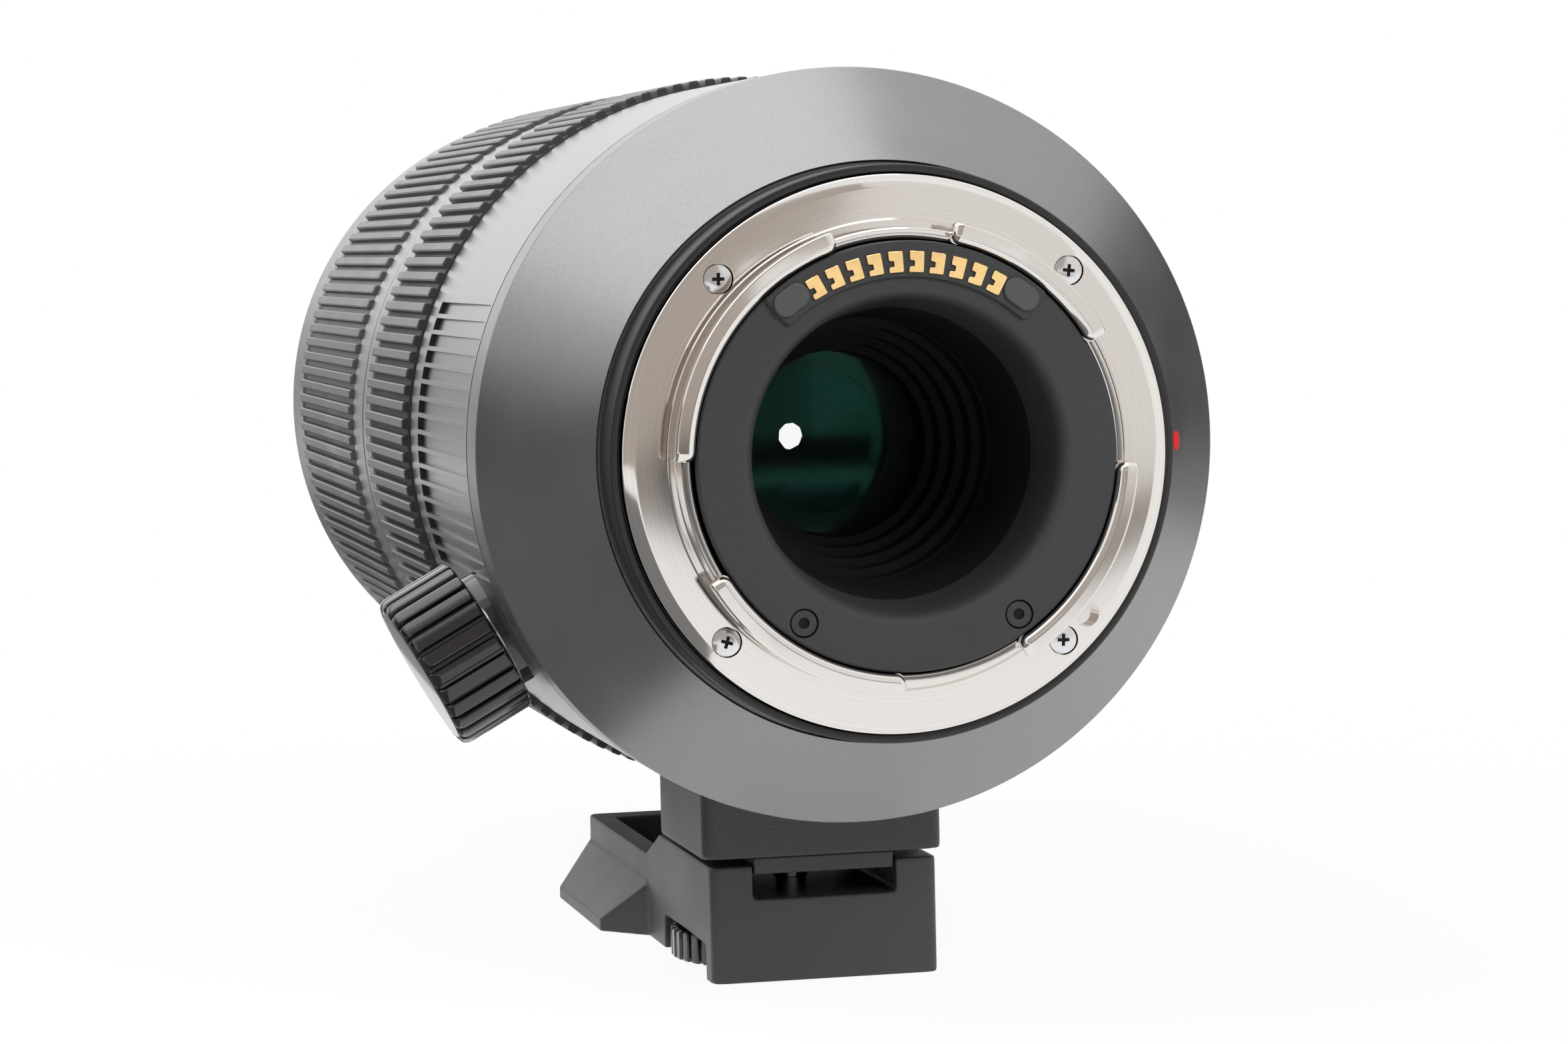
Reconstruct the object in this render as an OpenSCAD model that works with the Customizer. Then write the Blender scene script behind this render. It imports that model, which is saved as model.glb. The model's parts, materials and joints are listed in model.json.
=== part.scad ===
// Telephoto zoom lens with a turning tripod collar and a detachable foot.
// Millimetres. The optical axis is Y: the mount flange lies in the plane y = 0 and the front
// glass looks along +Y. X points right as seen from the camera, and Z points up.
// Angles are in degrees, anticlockwise from +X as seen from the camera.

/* [Outer barrel] */
// Diameter over the ribs of the focus ring and the zoom ring
ring_d = 88; // [86:0.5:92]
// Diameter of the rear housing and of the tripod collar
collar_d = 86; // [84:0.5:88]
// Step from the tops of the ribs down to the smooth bands
band_drop = 0.7; // [0.3:0.05:1]
// Nominal diameter of the filter thread in the front rim
filter_d = 82; // [77:1:83]
// Wall of the front rim round the filter thread
rim_wall = 2.9; // [2:0.1:4]

/* [Lengths along the axis] */
// Length from the flange to the end of the rear cone
cone_len = 22.6; // [20:0.2:27]
// Length of the straight rim in front of the rear cone
housing_rim = 6.4; // [4:0.2:9]
// Length of the tripod collar
collar_len = 45; // [42:0.5:52]
// Length of the focus ring
focus_ring_len = 35; // [28:0.5:42]
// Length of the fixed band with the index line
index_band_len = 7; // [5:0.5:9]
// Length of the smooth strip at the rear of the zoom ring
zoom_strip_len = 9.8; // [6:0.2:14]
// Length of the ribbed part of the zoom ring
zoom_grip_len = 56.6; // [50:0.2:64]
// Length of the front rim
front_rim_len = 13.4; // [12:0.2:18]

/* [Grip ribs] */
// Number of ribs round each ring
rib_count = 132; // [96:2:160]
// Height of the ribs
rib_h = 0.8; // [0.4:0.1:1]
// Half width of a rib's top as a share of the pitch
rib_top = 0.3; // [0.15:0.01:0.36]
// Width of a rib's flank as a share of the pitch
rib_flank = 0.06; // [0.03:0.01:0.1]

/* [Walls] */
// Wall of the focus ring under its ribs
focus_wall = 1.6; // [1.2:0.1:2]
// Wall of the fixed sleeve that carries the focus ring
sleeve_wall = 0.7; // [0.6:0.1:1]
// Wall of the cam tube inside the zoom ring
cam_wall = 1.1; // [0.8:0.1:1.4]
// Wall of the front part of the main tube
tube_wall = 1.2; // [0.9:0.1:1.5]
// Wall of the extending front barrel
barrel_wall = 1.5; // [1:0.1:2]
// Wall of the tripod collar
collar_wall = 5.9; // [5:0.1:6.4]
// Wall of the rear part of the main tube
rear_wall = 2; // [1.5:0.1:2.6]

/* [Zoom and focus] */
// Turn of the zoom ring from the short end to the long end
zoom_turn = 150; // [100:5:160]
// Forward travel of the front barrel
zoom_travel = 76; // [50:1:78]
// Diameter of the three followers that drive the front barrel
follower_d = 4; // [3:0.2:5]
// Forward travel of the focus group
focus_travel = 6; // [3:0.5:7]
// Bore of the inner barrel that holds the rear optics and the iris
optics_bore_d = 35; // [34.6:0.1:36]
// Radius of the stopped-down iris opening
iris_stop_r = 1.57; // [1:0.01:4]

/* [Bayonet mount] */
// Inner diameter of the bayonet tube
throat_d = 47; // [44:0.1:50]
// Wall of the bayonet tube
bayonet_wall = 1.2; // [1:0.1:1.6]
// Length of the bayonet tube behind the flange
tube_len = 5.2; // [5:0.1:6]
// Height of the tube's wall between the tabs
gap_wall_h = 2.9; // [2:0.1:3.5]
// Height of the bayonet tabs above the tube
tab_h = 1; // [0.8:0.1:1.4]
// Thickness of the bayonet tabs
tab_t = 1.6; // [1.2:0.1:2]
// Width of the mount flange outside the tube
flange_w = 5.8; // [5.3:0.1:6.5]
// Thickness of the mount flange
flange_t = 2.4; // [2:0.1:3]
// Distance of the mount screws from the flange's rim
mount_screw_inset = 2.8; // [2.5:0.1:3]
// Number of electrical contacts
contact_count = 10; // [6:1:11]
// Depth of the rear baffle's funnel in front of the flange
baffle_depth = 16; // [13:0.5:17]

/* [Tripod collar] */
// Width of the neck under the collar
neck_w = 29; // [26:0.5:29.5]
// Length of the neck
neck_len = 27.3; // [25:0.1:29]
// Distance from the axis down to the neck's underside
neck_drop = 49; // [48:0.2:52]
// Direction of the clamp knob
knob_angle = 209; // [200:1:216]
// Diameter of the clamp knob
knob_d = 19.4; // [16:0.2:22]
// Length of the clamp knob
knob_len = 9.4; // [7:0.2:12]
// Number of flutes round the clamp knob
knob_flutes = 26; // [18:1:32]
// Number of pockets in the collar's side relief
relief_count = 16; // [10:1:18]

/* [Tripod foot] */
// Width of the foot
foot_w = 27.5; // [26.5:0.5:30]
// Length of the foot
foot_len = 81; // [78:0.5:90]
// Height of the foot
foot_h = 13.9; // [13.5:0.1:16]
// Width over the dovetail flanges
dovetail_w = 38; // [34:0.5:40]
// Width of the rail under the neck
rail_w = 17; // [15:0.5:18]
// Thickness of the rail
rail_t = 2; // [1.6:0.1:2.4]
// Diameter of the lock wheel
wheel_d = 29.6; // [28.4:0.2:30.4]
// Thickness of the lock wheel
wheel_t = 3.4; // [2.8:0.1:3.8]
// Number of notches round the lock wheel
wheel_notches = 44; // [30:1:56]

/* [Clearances] */
// Gap between parts that turn or slide past each other
turn_gap = 0.3; // [0.2:0.05:0.5]
// Gap between the ends of neighbouring rings
ring_gap = 0.4; // [0.3:0.05:0.6]
// Radial clearance of a running fit
run_fit = 0.1; // [0.05:0.01:0.1]
// Radial clearance of a fixed part in its seat
seat_fit = 0.05; // [0.02:0.01:0.1]

/* [Hidden] */
$fn = 96;
// Overshoot of a cut beyond the face it opens
cut = 1;
// Fineness of the large glass spheres
lens_fn = 360;

// Planes along the axis, from the flange to the front
y_housing1 = cone_len + housing_rim;
y_collar0 = y_housing1 + turn_gap;
y_collar1 = y_collar0 + collar_len;
y_shoulder = y_collar1 + turn_gap;
y_focus0 = y_shoulder + ring_gap;
y_focus1 = y_focus0 + focus_ring_len;
y_index0 = y_focus1 + ring_gap;
y_index1 = y_index0 + index_band_len;
y_zoom0 = y_index1 + ring_gap;
y_grip0 = y_zoom0 + zoom_strip_len;
y_zoom1 = y_grip0 + zoom_grip_len;
y_rim0 = y_zoom1 + ring_gap;
y_front = y_rim0 + front_rim_len;

// Radii of the nested tubes, from the outside in
r_ring = ring_d / 2;
r_rib_foot = r_ring - rib_h;
r_focus_bore = r_rib_foot - focus_wall;
r_sleeve = r_focus_bore - run_fit;
r_sleeve_bore = r_sleeve - sleeve_wall;
r_cam = r_sleeve_bore - turn_gap;
r_cam_bore = r_cam - cam_wall;
r_tube = r_cam_bore - run_fit;
r_tube_bore = r_tube - tube_wall;
r_barrel = r_tube_bore - run_fit;
r_barrel_bore = r_barrel - barrel_wall;
r_collar = collar_d / 2;
r_collar_bore = r_collar - collar_wall;
r_rear = r_collar_bore - run_fit;
r_rear_bore = r_rear - rear_wall;
r_band = r_ring - band_drop;
r_optics = optics_bore_d / 2;

// Bayonet mount and rear housing
r_throat = throat_d / 2;
r_bayonet = r_throat + bayonet_wall;
r_tab = r_bayonet + tab_h;
r_flange = r_bayonet + flange_w;
mount_screw_circle_r = r_flange - mount_screw_inset;
tab_arcs = [[29.5, 77.5], [108, 179.5], [210, 268], [300, 357]];
tab_gaps = [
    for (i = [0:len(tab_arcs) - 1])
        let (next = (i + 1) % len(tab_arcs))
            [tab_arcs[i][1], tab_arcs[next][0] + (next == 0 ? 360 : 0)]
];
mount_screw_angles = [45, 135, 225, 311];
mount_screw_r = 1;
mount_screw_len = 5;
mount_head_r = 1.6;
mount_head_t = 1.2;
mount_socket_r = 0.6;
mount_socket_t = 0.7;
lock_slot_angle = -41;
lock_slot_r = 1.4;
lock_slot_depth = 1.6;
flange_bevel_w = 1.3;
flange_bevel_t = 0.6;
seal_w = 0.95;
seal_len = 6.2;
seal_proud = 1;
seal_edge = 0.3;
seal_gap = 0.2;
seal_groove_w = 0.45;
seal_groove_t = 0.8;
housing_seat_t = 3.6;
housing_bore_gap = 2;
housing_neck_wall = 1.65;
housing_ledge_w = 2;
housing_nest = 12.5;
housing_bore_r = r_throat + housing_bore_gap;
r_seal0 = r_flange + seal_gap;
r_seal1 = r_seal0 + seal_w;
y_seal0 = flange_t - seal_proud;
y_seal1 = y_seal0 + seal_len;
r_neck = r_seal0 - seat_fit;
r_cavity = r_neck - housing_neck_wall;
y_lip = y_seal1 - seal_groove_t;
y_cavity = flange_t + housing_seat_t;
y_tube0 = y_housing1 - housing_nest;
dot_r = 1.1;
dot_set = 4.3;
dot_t = 1.2;
dot_proud = 0.1;
dot_y = y_lip + dot_set;
r_cone_rear = r_seal1 + seal_groove_w;
cone_slope = (r_collar - r_cone_rear) / (cone_len - y_lip);
cone_tilt = atan(cone_slope);
r_dot_surface = r_cone_rear + cone_slope * dot_set;

// Contacts and baffle
contact_pitch = 6.3;
contact_inset = 2.5;
contact_w = 1.6;
contact_l = 2.2;
contact_t = 0.25;
contact_centre = 90;
block_side_angle = 1;
block_w = 4.15;
block_proud = 0.5;
block_t = 3.4;
block_lug_pitch = 8.15;
block_end_angle = 5.9;
block_lug_r = 1.85;
block_lug_inset = 2.2;
block_lug_t = 0.4;
baffle_gap = 0.2;
baffle_t = 1.4;
baffle_set = 0.8;
baffle_rim_w = 6.6;
baffle_end_r = 14.8;
baffle_wall = 1.2;
baffle_screw_centre = 270;
baffle_screw_angle = 34.4;
baffle_screw_inset = 2.3;
baffle_screw_r = 0.8;
baffle_screw_len = 3.6;
baffle_head_r = 1.5;
baffle_head_t = 0.7;
lug_half_angle = 6;
lug_w = 3.9;
lug_root = 0.4;
r_baffle = r_throat - baffle_gap;
contact_r = r_throat - contact_inset;
block_bore_r = r_throat - block_w;
block_lug_at = r_throat - block_lug_inset;
baffle_mouth_r = r_throat - baffle_rim_w;
baffle_screw_at = r_throat - baffle_screw_inset;
lug_bore_r = r_throat - lug_w;
y_plate0 = baffle_set - tube_len;
y_plate1 = y_plate0 + baffle_t;
y_block0 = y_plate0 - block_proud;
y_block1 = y_block0 + block_t;
block_lug_depth = 3;
block_lug_angle = (contact_count - 1) / 2 * contact_pitch + block_lug_pitch;
block_half_angle = block_lug_angle + block_end_angle;
baffle_screw_angles = [for (s = [-1, 1]) baffle_screw_centre + s * baffle_screw_angle];
block_lug_angles = [for (s = [-1, 1]) contact_centre + s * block_lug_angle];

// Circuit board
board_t = 1.6;
board_gap = 0.4;

// Main tube
tube_flange_len = 5;
tube_web_t = 2.5;
inner_lip_set = 10.6;
inner_lip_t = 4;
inner_lip_w = 2;
tube_end_set = 1.2;
y_inner_lip = y_shoulder - inner_lip_set;
y_tube_flange = y_shoulder + tube_flange_len;
y_tube1 = y_zoom1 - tube_end_set;

// Zoom drive
barrel_set = 8.4;
follower_set = 4;
follower_count = 3;
follower_angle = 90;
follower_gap = 0.4;
slot_gap = 0.2;
slot_end_gap = 0.6;
cam_rear = 8;
cam_slices = 26;
cam_segments = 8;
y_barrel0 = y_tube_flange + barrel_set;
y_follow = y_barrel0 + follower_set;
r_follower = follower_d / 2;
slot_half = r_follower + slot_gap;
slot_reach = slot_half + slot_end_gap;
cam_slot_len = zoom_travel + 2 * slot_reach;
cam_slot_turn = zoom_turn * cam_slot_len / zoom_travel;
cam_arc_len = zoom_turn * PI / 180 * r_cam;
cam_slope = atan2(zoom_travel, cam_arc_len);
cam_slot_half_angle = (slot_half + slot_gap) / sin(cam_slope) / r_cam_bore * 180 / PI;

// Front barrel, rim and glass
rim_depth = 7;
filter_thread_len = 4.4;
filter_thread_h = 0.4;
rim_chamfer = 0.8;
front_edge_t = 6.5;
front_plug_t = 2.5;
front_hold = 1.1;
front_dome_r = 130;
glass_ledge_t = 2;
glass_ledge_w = 1.5;
second_edge_t = 8;
second_hollow_r = 95;
second_hollow_depth = 5;
r_filter = filter_d / 2 - filter_thread_h;
r_rim = r_filter + rim_wall;
y_seat = y_front - rim_depth;
y_glass1 = y_seat - front_plug_t;
y_glass0 = y_glass1 - front_edge_t;
y_ledge0 = y_glass0 - glass_ledge_t;
y_second0 = y_ledge0 - second_edge_t;
r_glass = r_barrel_bore - seat_fit;
r_hold = r_glass - front_hold;

// Iris, from its front cover backwards
iris_set = 6.8;
iris_cover_t = 0.8;
iris_ring_t = 1.2;
iris_ring_gap = 0.3;
blade_count = 9;
blade_t = 0.15;
blade_pitch = 0.3;
blade_bore_inset = 7.9;
blade_inset = 3.1;
blade_sweep = 110;
blade_pivot_inset = 1.3;
blade_ear_r = 1.1;
blade_ear_w = 1.8;
blade_pin_r = 0.5;
blade_pin_fit = 0.05;
iris_base_t = 1;
iris_hole_inset = 8;
iris_slot_w = 1.2;
iris_slot_l = 4;
iris_slot_inset = 2;
y_cover1 = y_inner_lip - iris_set;
y_cover0 = y_cover1 - iris_cover_t;
y_iris_ring1 = y_cover0 - iris_ring_gap;
y_iris_ring0 = y_iris_ring1 - iris_ring_t;
y_blade0 = y_iris_ring0 - iris_ring_gap - blade_count * blade_pitch;
y_iris_base1 = y_blade0 - iris_ring_gap;
y_iris_base0 = y_iris_base1 - iris_base_t;
blade_bore_r = r_optics - blade_bore_inset;
blade_r = r_optics - blade_inset;
blade_pivot_r = r_optics - blade_pivot_inset;
iris_hole_r = r_optics - iris_hole_inset;
blade_swing = 2 * asin((blade_bore_r - iris_stop_r) / (2 * blade_pivot_r));

// Rear optics and focus group
focus_stop_gap = 0.7;
focus_cell_t = 5.5;
focus_glass_r = 10;
focus_glass_wall = 1.5;
focus_glass_t = 4;
focus_dome_r = 40;
cell_gap = 0.8;
optics_gap = 1.5;
optics_wall = 1.5;
flange_seat_t = 4;
rear_steps = 4;
rear_step_w = 1;
rear_seat_t = 4.5;
rear_glass_lip = 0.8;
rear_dome_r = 300;
y_focus_cell1 = y_iris_base0 - focus_stop_gap - focus_travel;
y_focus_cell0 = y_focus_cell1 - focus_cell_t;
y_rear_cell1 = y_focus_cell0 - cell_gap;
y_optics0 = baffle_depth + optics_gap;
y_rear_seat = y_rear_cell1 - rear_seat_t;
rear_step_len = (y_rear_seat - y_optics0) / (rear_steps + 1);
rear_hole_r = baffle_end_r - rear_steps * rear_step_w;
rear_glass_r = rear_hole_r + rear_glass_lip;
y_optics_flange = y_inner_lip - flange_seat_t;
r_optics_out = r_optics + optics_wall;

// Focus drive
motor_angle = 330;
motor_at = 26;
motor_r = 4.5;
motor_len = 9;
screw_r = 1.2;
screw_rear = 3;
motor_bore_r = 1.3;
motor_nest = 4;
arm_w = 6;
arm_half_l = 3.4;
arm_root = 2;
arm_slot_gap = 0.5;
y_motor1 = y_optics_flange;
y_motor0 = y_motor1 - motor_len;

// Guide rods and variator
rod_r = 1.5;
rod_inset = 7.3;
rod_angles = [20, 200];
rod_len = 90;
rod_floor_t = 0.5;
rod_ring_t = 3;
rod_ring_in = 2.5;
rod_ring_out = 3;
variator_set = 34;
variator_cell_t = 8;
variator_glass_r = 18;
variator_glass_wall = 2.5;
variator_glass_lip = 1;
variator_hollow_r = 45;
variator_hollow_depth = 2.2;
variator_lug_r = 3.2;
rod_at = r_barrel_bore - rod_inset;
rod_ring_bore_r = rod_at - rod_ring_in;
rod_ring_r = rod_at + rod_ring_out;
y_rod0 = y_optics_flange + rod_floor_t;
y_rod1 = y_rod0 + rod_len;
y_variator = y_inner_lip + variator_set;

// Collar, neck and clamp
neck_set = 10.7;
neck_corner_r = 1.5;
neck_bite = 2.7;
neck_screw_side = 3.3;
neck_screw_inset = 5;
neck_screw_r = 1.25;
neck_screw_bite = 1.8;
neck_head_r = 2.2;
neck_head_t = 2.4;
relief_start = 156.3;
relief_depth = 0.7;
relief_rear_depth = 0.2;
relief_rib_w = 0.55;
relief_margin_rear = 0.8;
relief_margin_front = 6.3;
bush_r = 7.2;
bush_proud = 0.9;
bush_depth = 3.4;
clamp_screw_r = 3;
clamp_screw_tip = 0.35;
knob_lift = 0.3;
knob_edge = 1.2;
knob_round = 0.4;
knob_flute_depth = 0.7;
knob_land = 0.36;
knob_flank = 0.05;
knob_cap_t = 1;
neck_let_in = r_collar - neck_bite;
neck_screw_x = neck_w / 2 - neck_screw_side;
y_neck0 = y_collar0 + neck_set;
y_neck1 = y_neck0 + neck_len;
knob_set = 14.7;
y_knob = y_collar0 + knob_set;
r_bush1 = r_collar + bush_proud;
r_bush0 = r_collar - bush_depth;
r_knob0 = r_bush1 + knob_lift;
r_knob1 = r_knob0 + knob_len;
relief_pitch = 360 / rib_count;
relief_w = r_collar * relief_pitch * PI / 180 - relief_rib_w;
y_relief0 = y_collar0 + relief_margin_rear;
y_relief1 = y_collar1 - relief_margin_front;

// Foot, rail and lock
foot_clear = 0.9;
foot_corner_r = 1.2;
channel_side_gap = 0.2;
channel_depth = 4;
wall_len = 31.5;
ramp_len = 9;
ledge_drop = 3.5;
pocket_start = 31.5;
pocket_front_wall = 5;
pocket_floor_t = 6.5;
dovetail_start = 39;
dovetail_slant = 6;
dovetail_foot_t = 1.6;
wheel_set = 18.5;
wheel_lift = 0.6;
wheel_gap = 0.4;
wheel_notch_depth = 0.6;
wheel_land = 0.3;
wheel_flank = 0.06;
window_start = 4;
window_len = 25;
window_depth = 4.2;
lock_screw_r = 1.9;
lock_tip_gap = 0.1;
rail_end_gap = 0.3;
lug_len = 4.8;
lug_end = 0.5;
lug_t = 2;
lug_wing = 2.1;
lug_wing_t = 1.1;
lug_gap = 0.25;
groove_start = 17;
insert_depth = 5;
insert_small_set = 29;
insert_large_set = 15;
insert_small_r = 5;
insert_large_r = 6.5;
thread_small_r = 2.6;
thread_large_r = 3.97;
stop_screw_x = 5;
stop_screw_set = 9;
stop_screw_r = 1;
stop_screw_len = 3;
stop_head_r = 1.8;
stop_head_t = 1.4;
y_foot0 = y_neck0;
y_foot1 = y_foot0 + foot_len;
insert_small_at = foot_len - insert_small_set;
insert_large_at = foot_len - insert_large_set;
stop_screw_at = foot_len - stop_screw_set;
lug_wing_w = rail_w + 2 * lug_wing;
z_neck = -neck_drop;
z_rail = z_neck - rail_t;
z_foot_top = z_neck - foot_clear;
z_foot = z_foot_top - foot_h;
z_channel = z_foot_top - channel_depth;
z_ledge = z_foot_top - ledge_drop;
z_pocket = z_foot + pocket_floor_t;
z_wheel0 = z_foot + wheel_lift;
z_wheel1 = z_wheel0 + wheel_t;
y_wheel = y_foot0 + wheel_set;
y_lug1 = y_neck1 - rail_end_gap - lug_end;
y_lug0 = y_lug1 - lug_len;
z_lug = z_rail - lug_t;
dovetail_drop = (dovetail_w - foot_w) / 2;

black = [0.10, 0.10, 0.11];
satin = [0.30, 0.30, 0.31];
dark = [0.05, 0.05, 0.06];
chrome = [0.78, 0.77, 0.75];
steel = [0.55, 0.55, 0.56];
brass = [0.72, 0.58, 0.30];
gold = [0.85, 0.62, 0.22];
red = [0.80, 0.08, 0.08];
glass = [0.45, 0.62, 0.58];
green = [0.10, 0.38, 0.22];
board_green = [0.05, 0.25, 0.12];

// Turns a shape drawn along Z to lie along the optical axis
module along_axis() {
    rotate([-90, 0, 0]) children();
}

// Turns +X to the given angle round the optical axis
module at_angle(a) {
    rotate([0, -a, 0]) children();
}

// Points a shape drawn along Z outwards at an angle and a place along the axis
module outward(a, y) {
    translate([0, y, 0]) at_angle(a) rotate([0, 90, 0]) children();
}

// Solid disc along the axis
module disc(r, y0, y1) {
    along_axis() translate([0, 0, y0]) cylinder(r = r, h = y1 - y0);
}

// Tube along the axis
module tube(r_in, r_out, y0, y1) {
    difference() {
        disc(r_out, y0, y1);
        disc(r_in, y0 - cut, y1 + cut);
    }
}

// Glass surface: a ball on the axis
module ball(r, y) {
    translate([0, y, 0]) sphere(r = r, $fn = lens_fn);
}

// Profile of [radius, y] points spun round the axis
module spun(points) {
    along_axis() rotate_extrude() polygon(points);
}

// Part of a tube between two angles
module arc_block(r_in, r_out, y0, y1, a0, a1) {
    along_axis() rotate([0, 0, -a1]) rotate_extrude(angle = a1 - a0)
        translate([r_in, y0]) square([r_out - r_in, y1 - y0]);
}

// Rod parallel to the axis, at a radius and an angle
module axial_rod(r, at, a, y0, y1) {
    at_angle(a) translate([at, 0, 0]) disc(r, y0, y1);
}

// Block with rounded upright edges, given by its limits
module upright_block(x0, x1, y0, y1, z0, z1, r) {
    translate([x0 + r, y0, z0]) cube([x1 - x0 - 2 * r, y1 - y0, z1 - z0]);
    translate([x0, y0 + r, z0]) cube([x1 - x0, y1 - y0 - 2 * r, z1 - z0]);
    for (x = [x0 + r, x1 - r], y = [y0 + r, y1 - r])
        translate([x, y, z0]) cylinder(r = r, h = z1 - z0);
}

// Plain block given by its limits
module limits_block(x0, x1, y0, y1, z0, z1) {
    translate([x0, y0, z0]) cube([x1 - x0, y1 - y0, z1 - z0]);
}

// Closed outline with trapezoid ribs, whose tops and flanks are shares of the pitch
function ribbed(count, r_foot, r_top, top, flank) = [
    for (i = [0:count - 1])
        for (p = [[-top - flank, r_foot], [-top, r_top], [top, r_top], [top + flank, r_foot]])
            let (a = (i + p[0]) * 360 / count) p[1] * [cos(a), sin(a)]
];

// Ribbed grip along the axis
module grip(y0, y1) {
    along_axis() translate([0, 0, y0]) linear_extrude(height = y1 - y0)
        polygon(ribbed(rib_count, r_rib_foot, r_ring, rib_top, rib_flank));
}

// Chrome bayonet with its flange, tube and tabs
module mount_bayonet() {
    color(chrome) difference() {
        union() {
            spun([
                [r_throat, -tube_len], [r_tab, -tube_len], [r_tab, tab_t - tube_len],
                [r_bayonet, tab_t - tube_len], [r_bayonet, 0], [r_flange - flange_bevel_w, 0],
                [r_flange, flange_bevel_t], [r_flange, flange_t], [r_throat, flange_t]
            ]);
            for (a = baffle_screw_angles)
                arc_block(lug_bore_r, r_throat + lug_root, y_plate1, flange_t,
                          a - lug_half_angle, a + lug_half_angle);
            for (a = block_lug_angles)
                arc_block(lug_bore_r, r_throat + lug_root, y_block1, y_block1 + block_lug_depth,
                          a - lug_half_angle, a + lug_half_angle);
        }
        for (g = tab_gaps)
            arc_block(r_throat - lug_root, r_tab + cut, -tube_len - cut, -gap_wall_h, g[0], g[1]);
        for (a = mount_screw_angles) {
            axial_rod(mount_screw_r + seat_fit, mount_screw_circle_r, a, -cut, flange_t + cut);
            axial_rod(mount_head_r + seat_fit, mount_screw_circle_r, a, -cut, mount_head_t);
        }
        axial_rod(lock_slot_r, mount_screw_circle_r, lock_slot_angle, -cut, lock_slot_depth);
        for (a = baffle_screw_angles)
            axial_rod(baffle_screw_r + seat_fit, baffle_screw_at, a, y_plate1 - cut,
                      y_plate0 + baffle_screw_len + seat_fit);
    }
}

// Four screws that hold the bayonet
module mount_screws() {
    color(steel) for (a = mount_screw_angles) difference() {
        union() {
            axial_rod(mount_head_r, mount_screw_circle_r, a, 0, mount_head_t);
            axial_rod(mount_screw_r, mount_screw_circle_r, a, 0, mount_screw_len);
        }
        axial_rod(mount_socket_r, mount_screw_circle_r, a, -cut, mount_socket_t);
    }
}

// Rubber skirt round the flange
module mount_seal() {
    color(dark) spun([
        [r_seal0, y_seal0], [r_seal1 - seal_edge, y_seal0], [r_seal1, y_seal0 + seal_edge],
        [r_seal1, y_seal1], [r_seal0, y_seal1]
    ]);
}

// Plastic carrier of the contacts
module contact_block() {
    color(dark) union() {
        arc_block(block_bore_r, r_baffle, y_block0, y_block1,
                  contact_centre - block_half_angle, contact_centre + block_half_angle);
        for (a = block_lug_angles)
            axial_rod(block_lug_r, block_lug_at, a, y_block0 - block_lug_t, y_block0 + block_lug_t);
    }
}

// Row of gold contacts
module contact_pads() {
    color(gold) for (i = [0:contact_count - 1])
        at_angle(contact_centre + (i - (contact_count - 1) / 2) * contact_pitch)
            translate([contact_r - contact_l / 2, y_block0 - contact_t, -contact_w / 2])
                cube([contact_l, contact_t, contact_w]);
}

// Black plate and funnel inside the throat
module rear_baffle() {
    color(dark) difference() {
        spun([
            [baffle_mouth_r, y_plate0], [r_baffle, y_plate0], [r_baffle, y_plate1],
            [baffle_mouth_r + baffle_wall, y_plate1], [baffle_end_r + baffle_wall, baffle_depth],
            [baffle_end_r, baffle_depth]
        ]);
        let (a = block_half_angle + block_side_angle)
            arc_block(block_bore_r - baffle_gap / 2, r_baffle + cut, y_plate0 - cut, y_block1 + cut,
                      contact_centre - a, contact_centre + a);
        for (a = baffle_screw_angles) {
            axial_rod(baffle_screw_r + seat_fit, baffle_screw_at, a, y_plate0 - cut, y_plate1 + cut);
            axial_rod(baffle_head_r + seat_fit, baffle_screw_at, a, y_plate0 - cut,
                      y_plate0 + baffle_head_t);
        }
    }
}

// Two screws of the baffle
module baffle_screws() {
    color(black) for (a = baffle_screw_angles) difference() {
        union() {
            axial_rod(baffle_head_r, baffle_screw_at, a, y_plate0, y_plate0 + baffle_head_t);
            axial_rod(baffle_screw_r, baffle_screw_at, a, y_plate0, y_plate0 + baffle_screw_len);
        }
        axial_rod(baffle_screw_r, baffle_screw_at, a, y_plate0 - cut, y_plate0 + baffle_head_t / 2);
    }
}

// Turns upright pieces square to the cone, at the red dot's seat
module on_cone() {
    outward(0, dot_y) translate([0, 0, r_dot_surface]) rotate([cone_tilt, 0, 0])
        translate([0, 0, dot_proud - dot_t]) children();
}

// Conical rear housing
module rear_housing() {
    color(satin) difference() {
        spun([
            [housing_bore_r, flange_t], [r_neck, flange_t], [r_neck, y_seal1], [r_cone_rear, y_seal1],
            [r_cone_rear, y_lip], [r_collar, cone_len], [r_collar, y_housing1], [r_rear, y_housing1],
            [r_rear, y_tube0], [r_rear_bore - housing_ledge_w, y_tube0], [r_cavity, y_seal1],
            [r_cavity, y_cavity], [housing_bore_r, y_cavity]
        ]);
        for (a = mount_screw_angles)
            axial_rod(mount_screw_r + seat_fit, mount_screw_circle_r, a, flange_t - cut,
                      mount_screw_len + seat_fit);
        on_cone() cylinder(r = dot_r + seat_fit, h = dot_t + cut);
    }
}

// Red dot for lining up the bayonet
module index_dot() {
    color(red) on_cone() cylinder(r = dot_r, h = dot_t);
}

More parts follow.
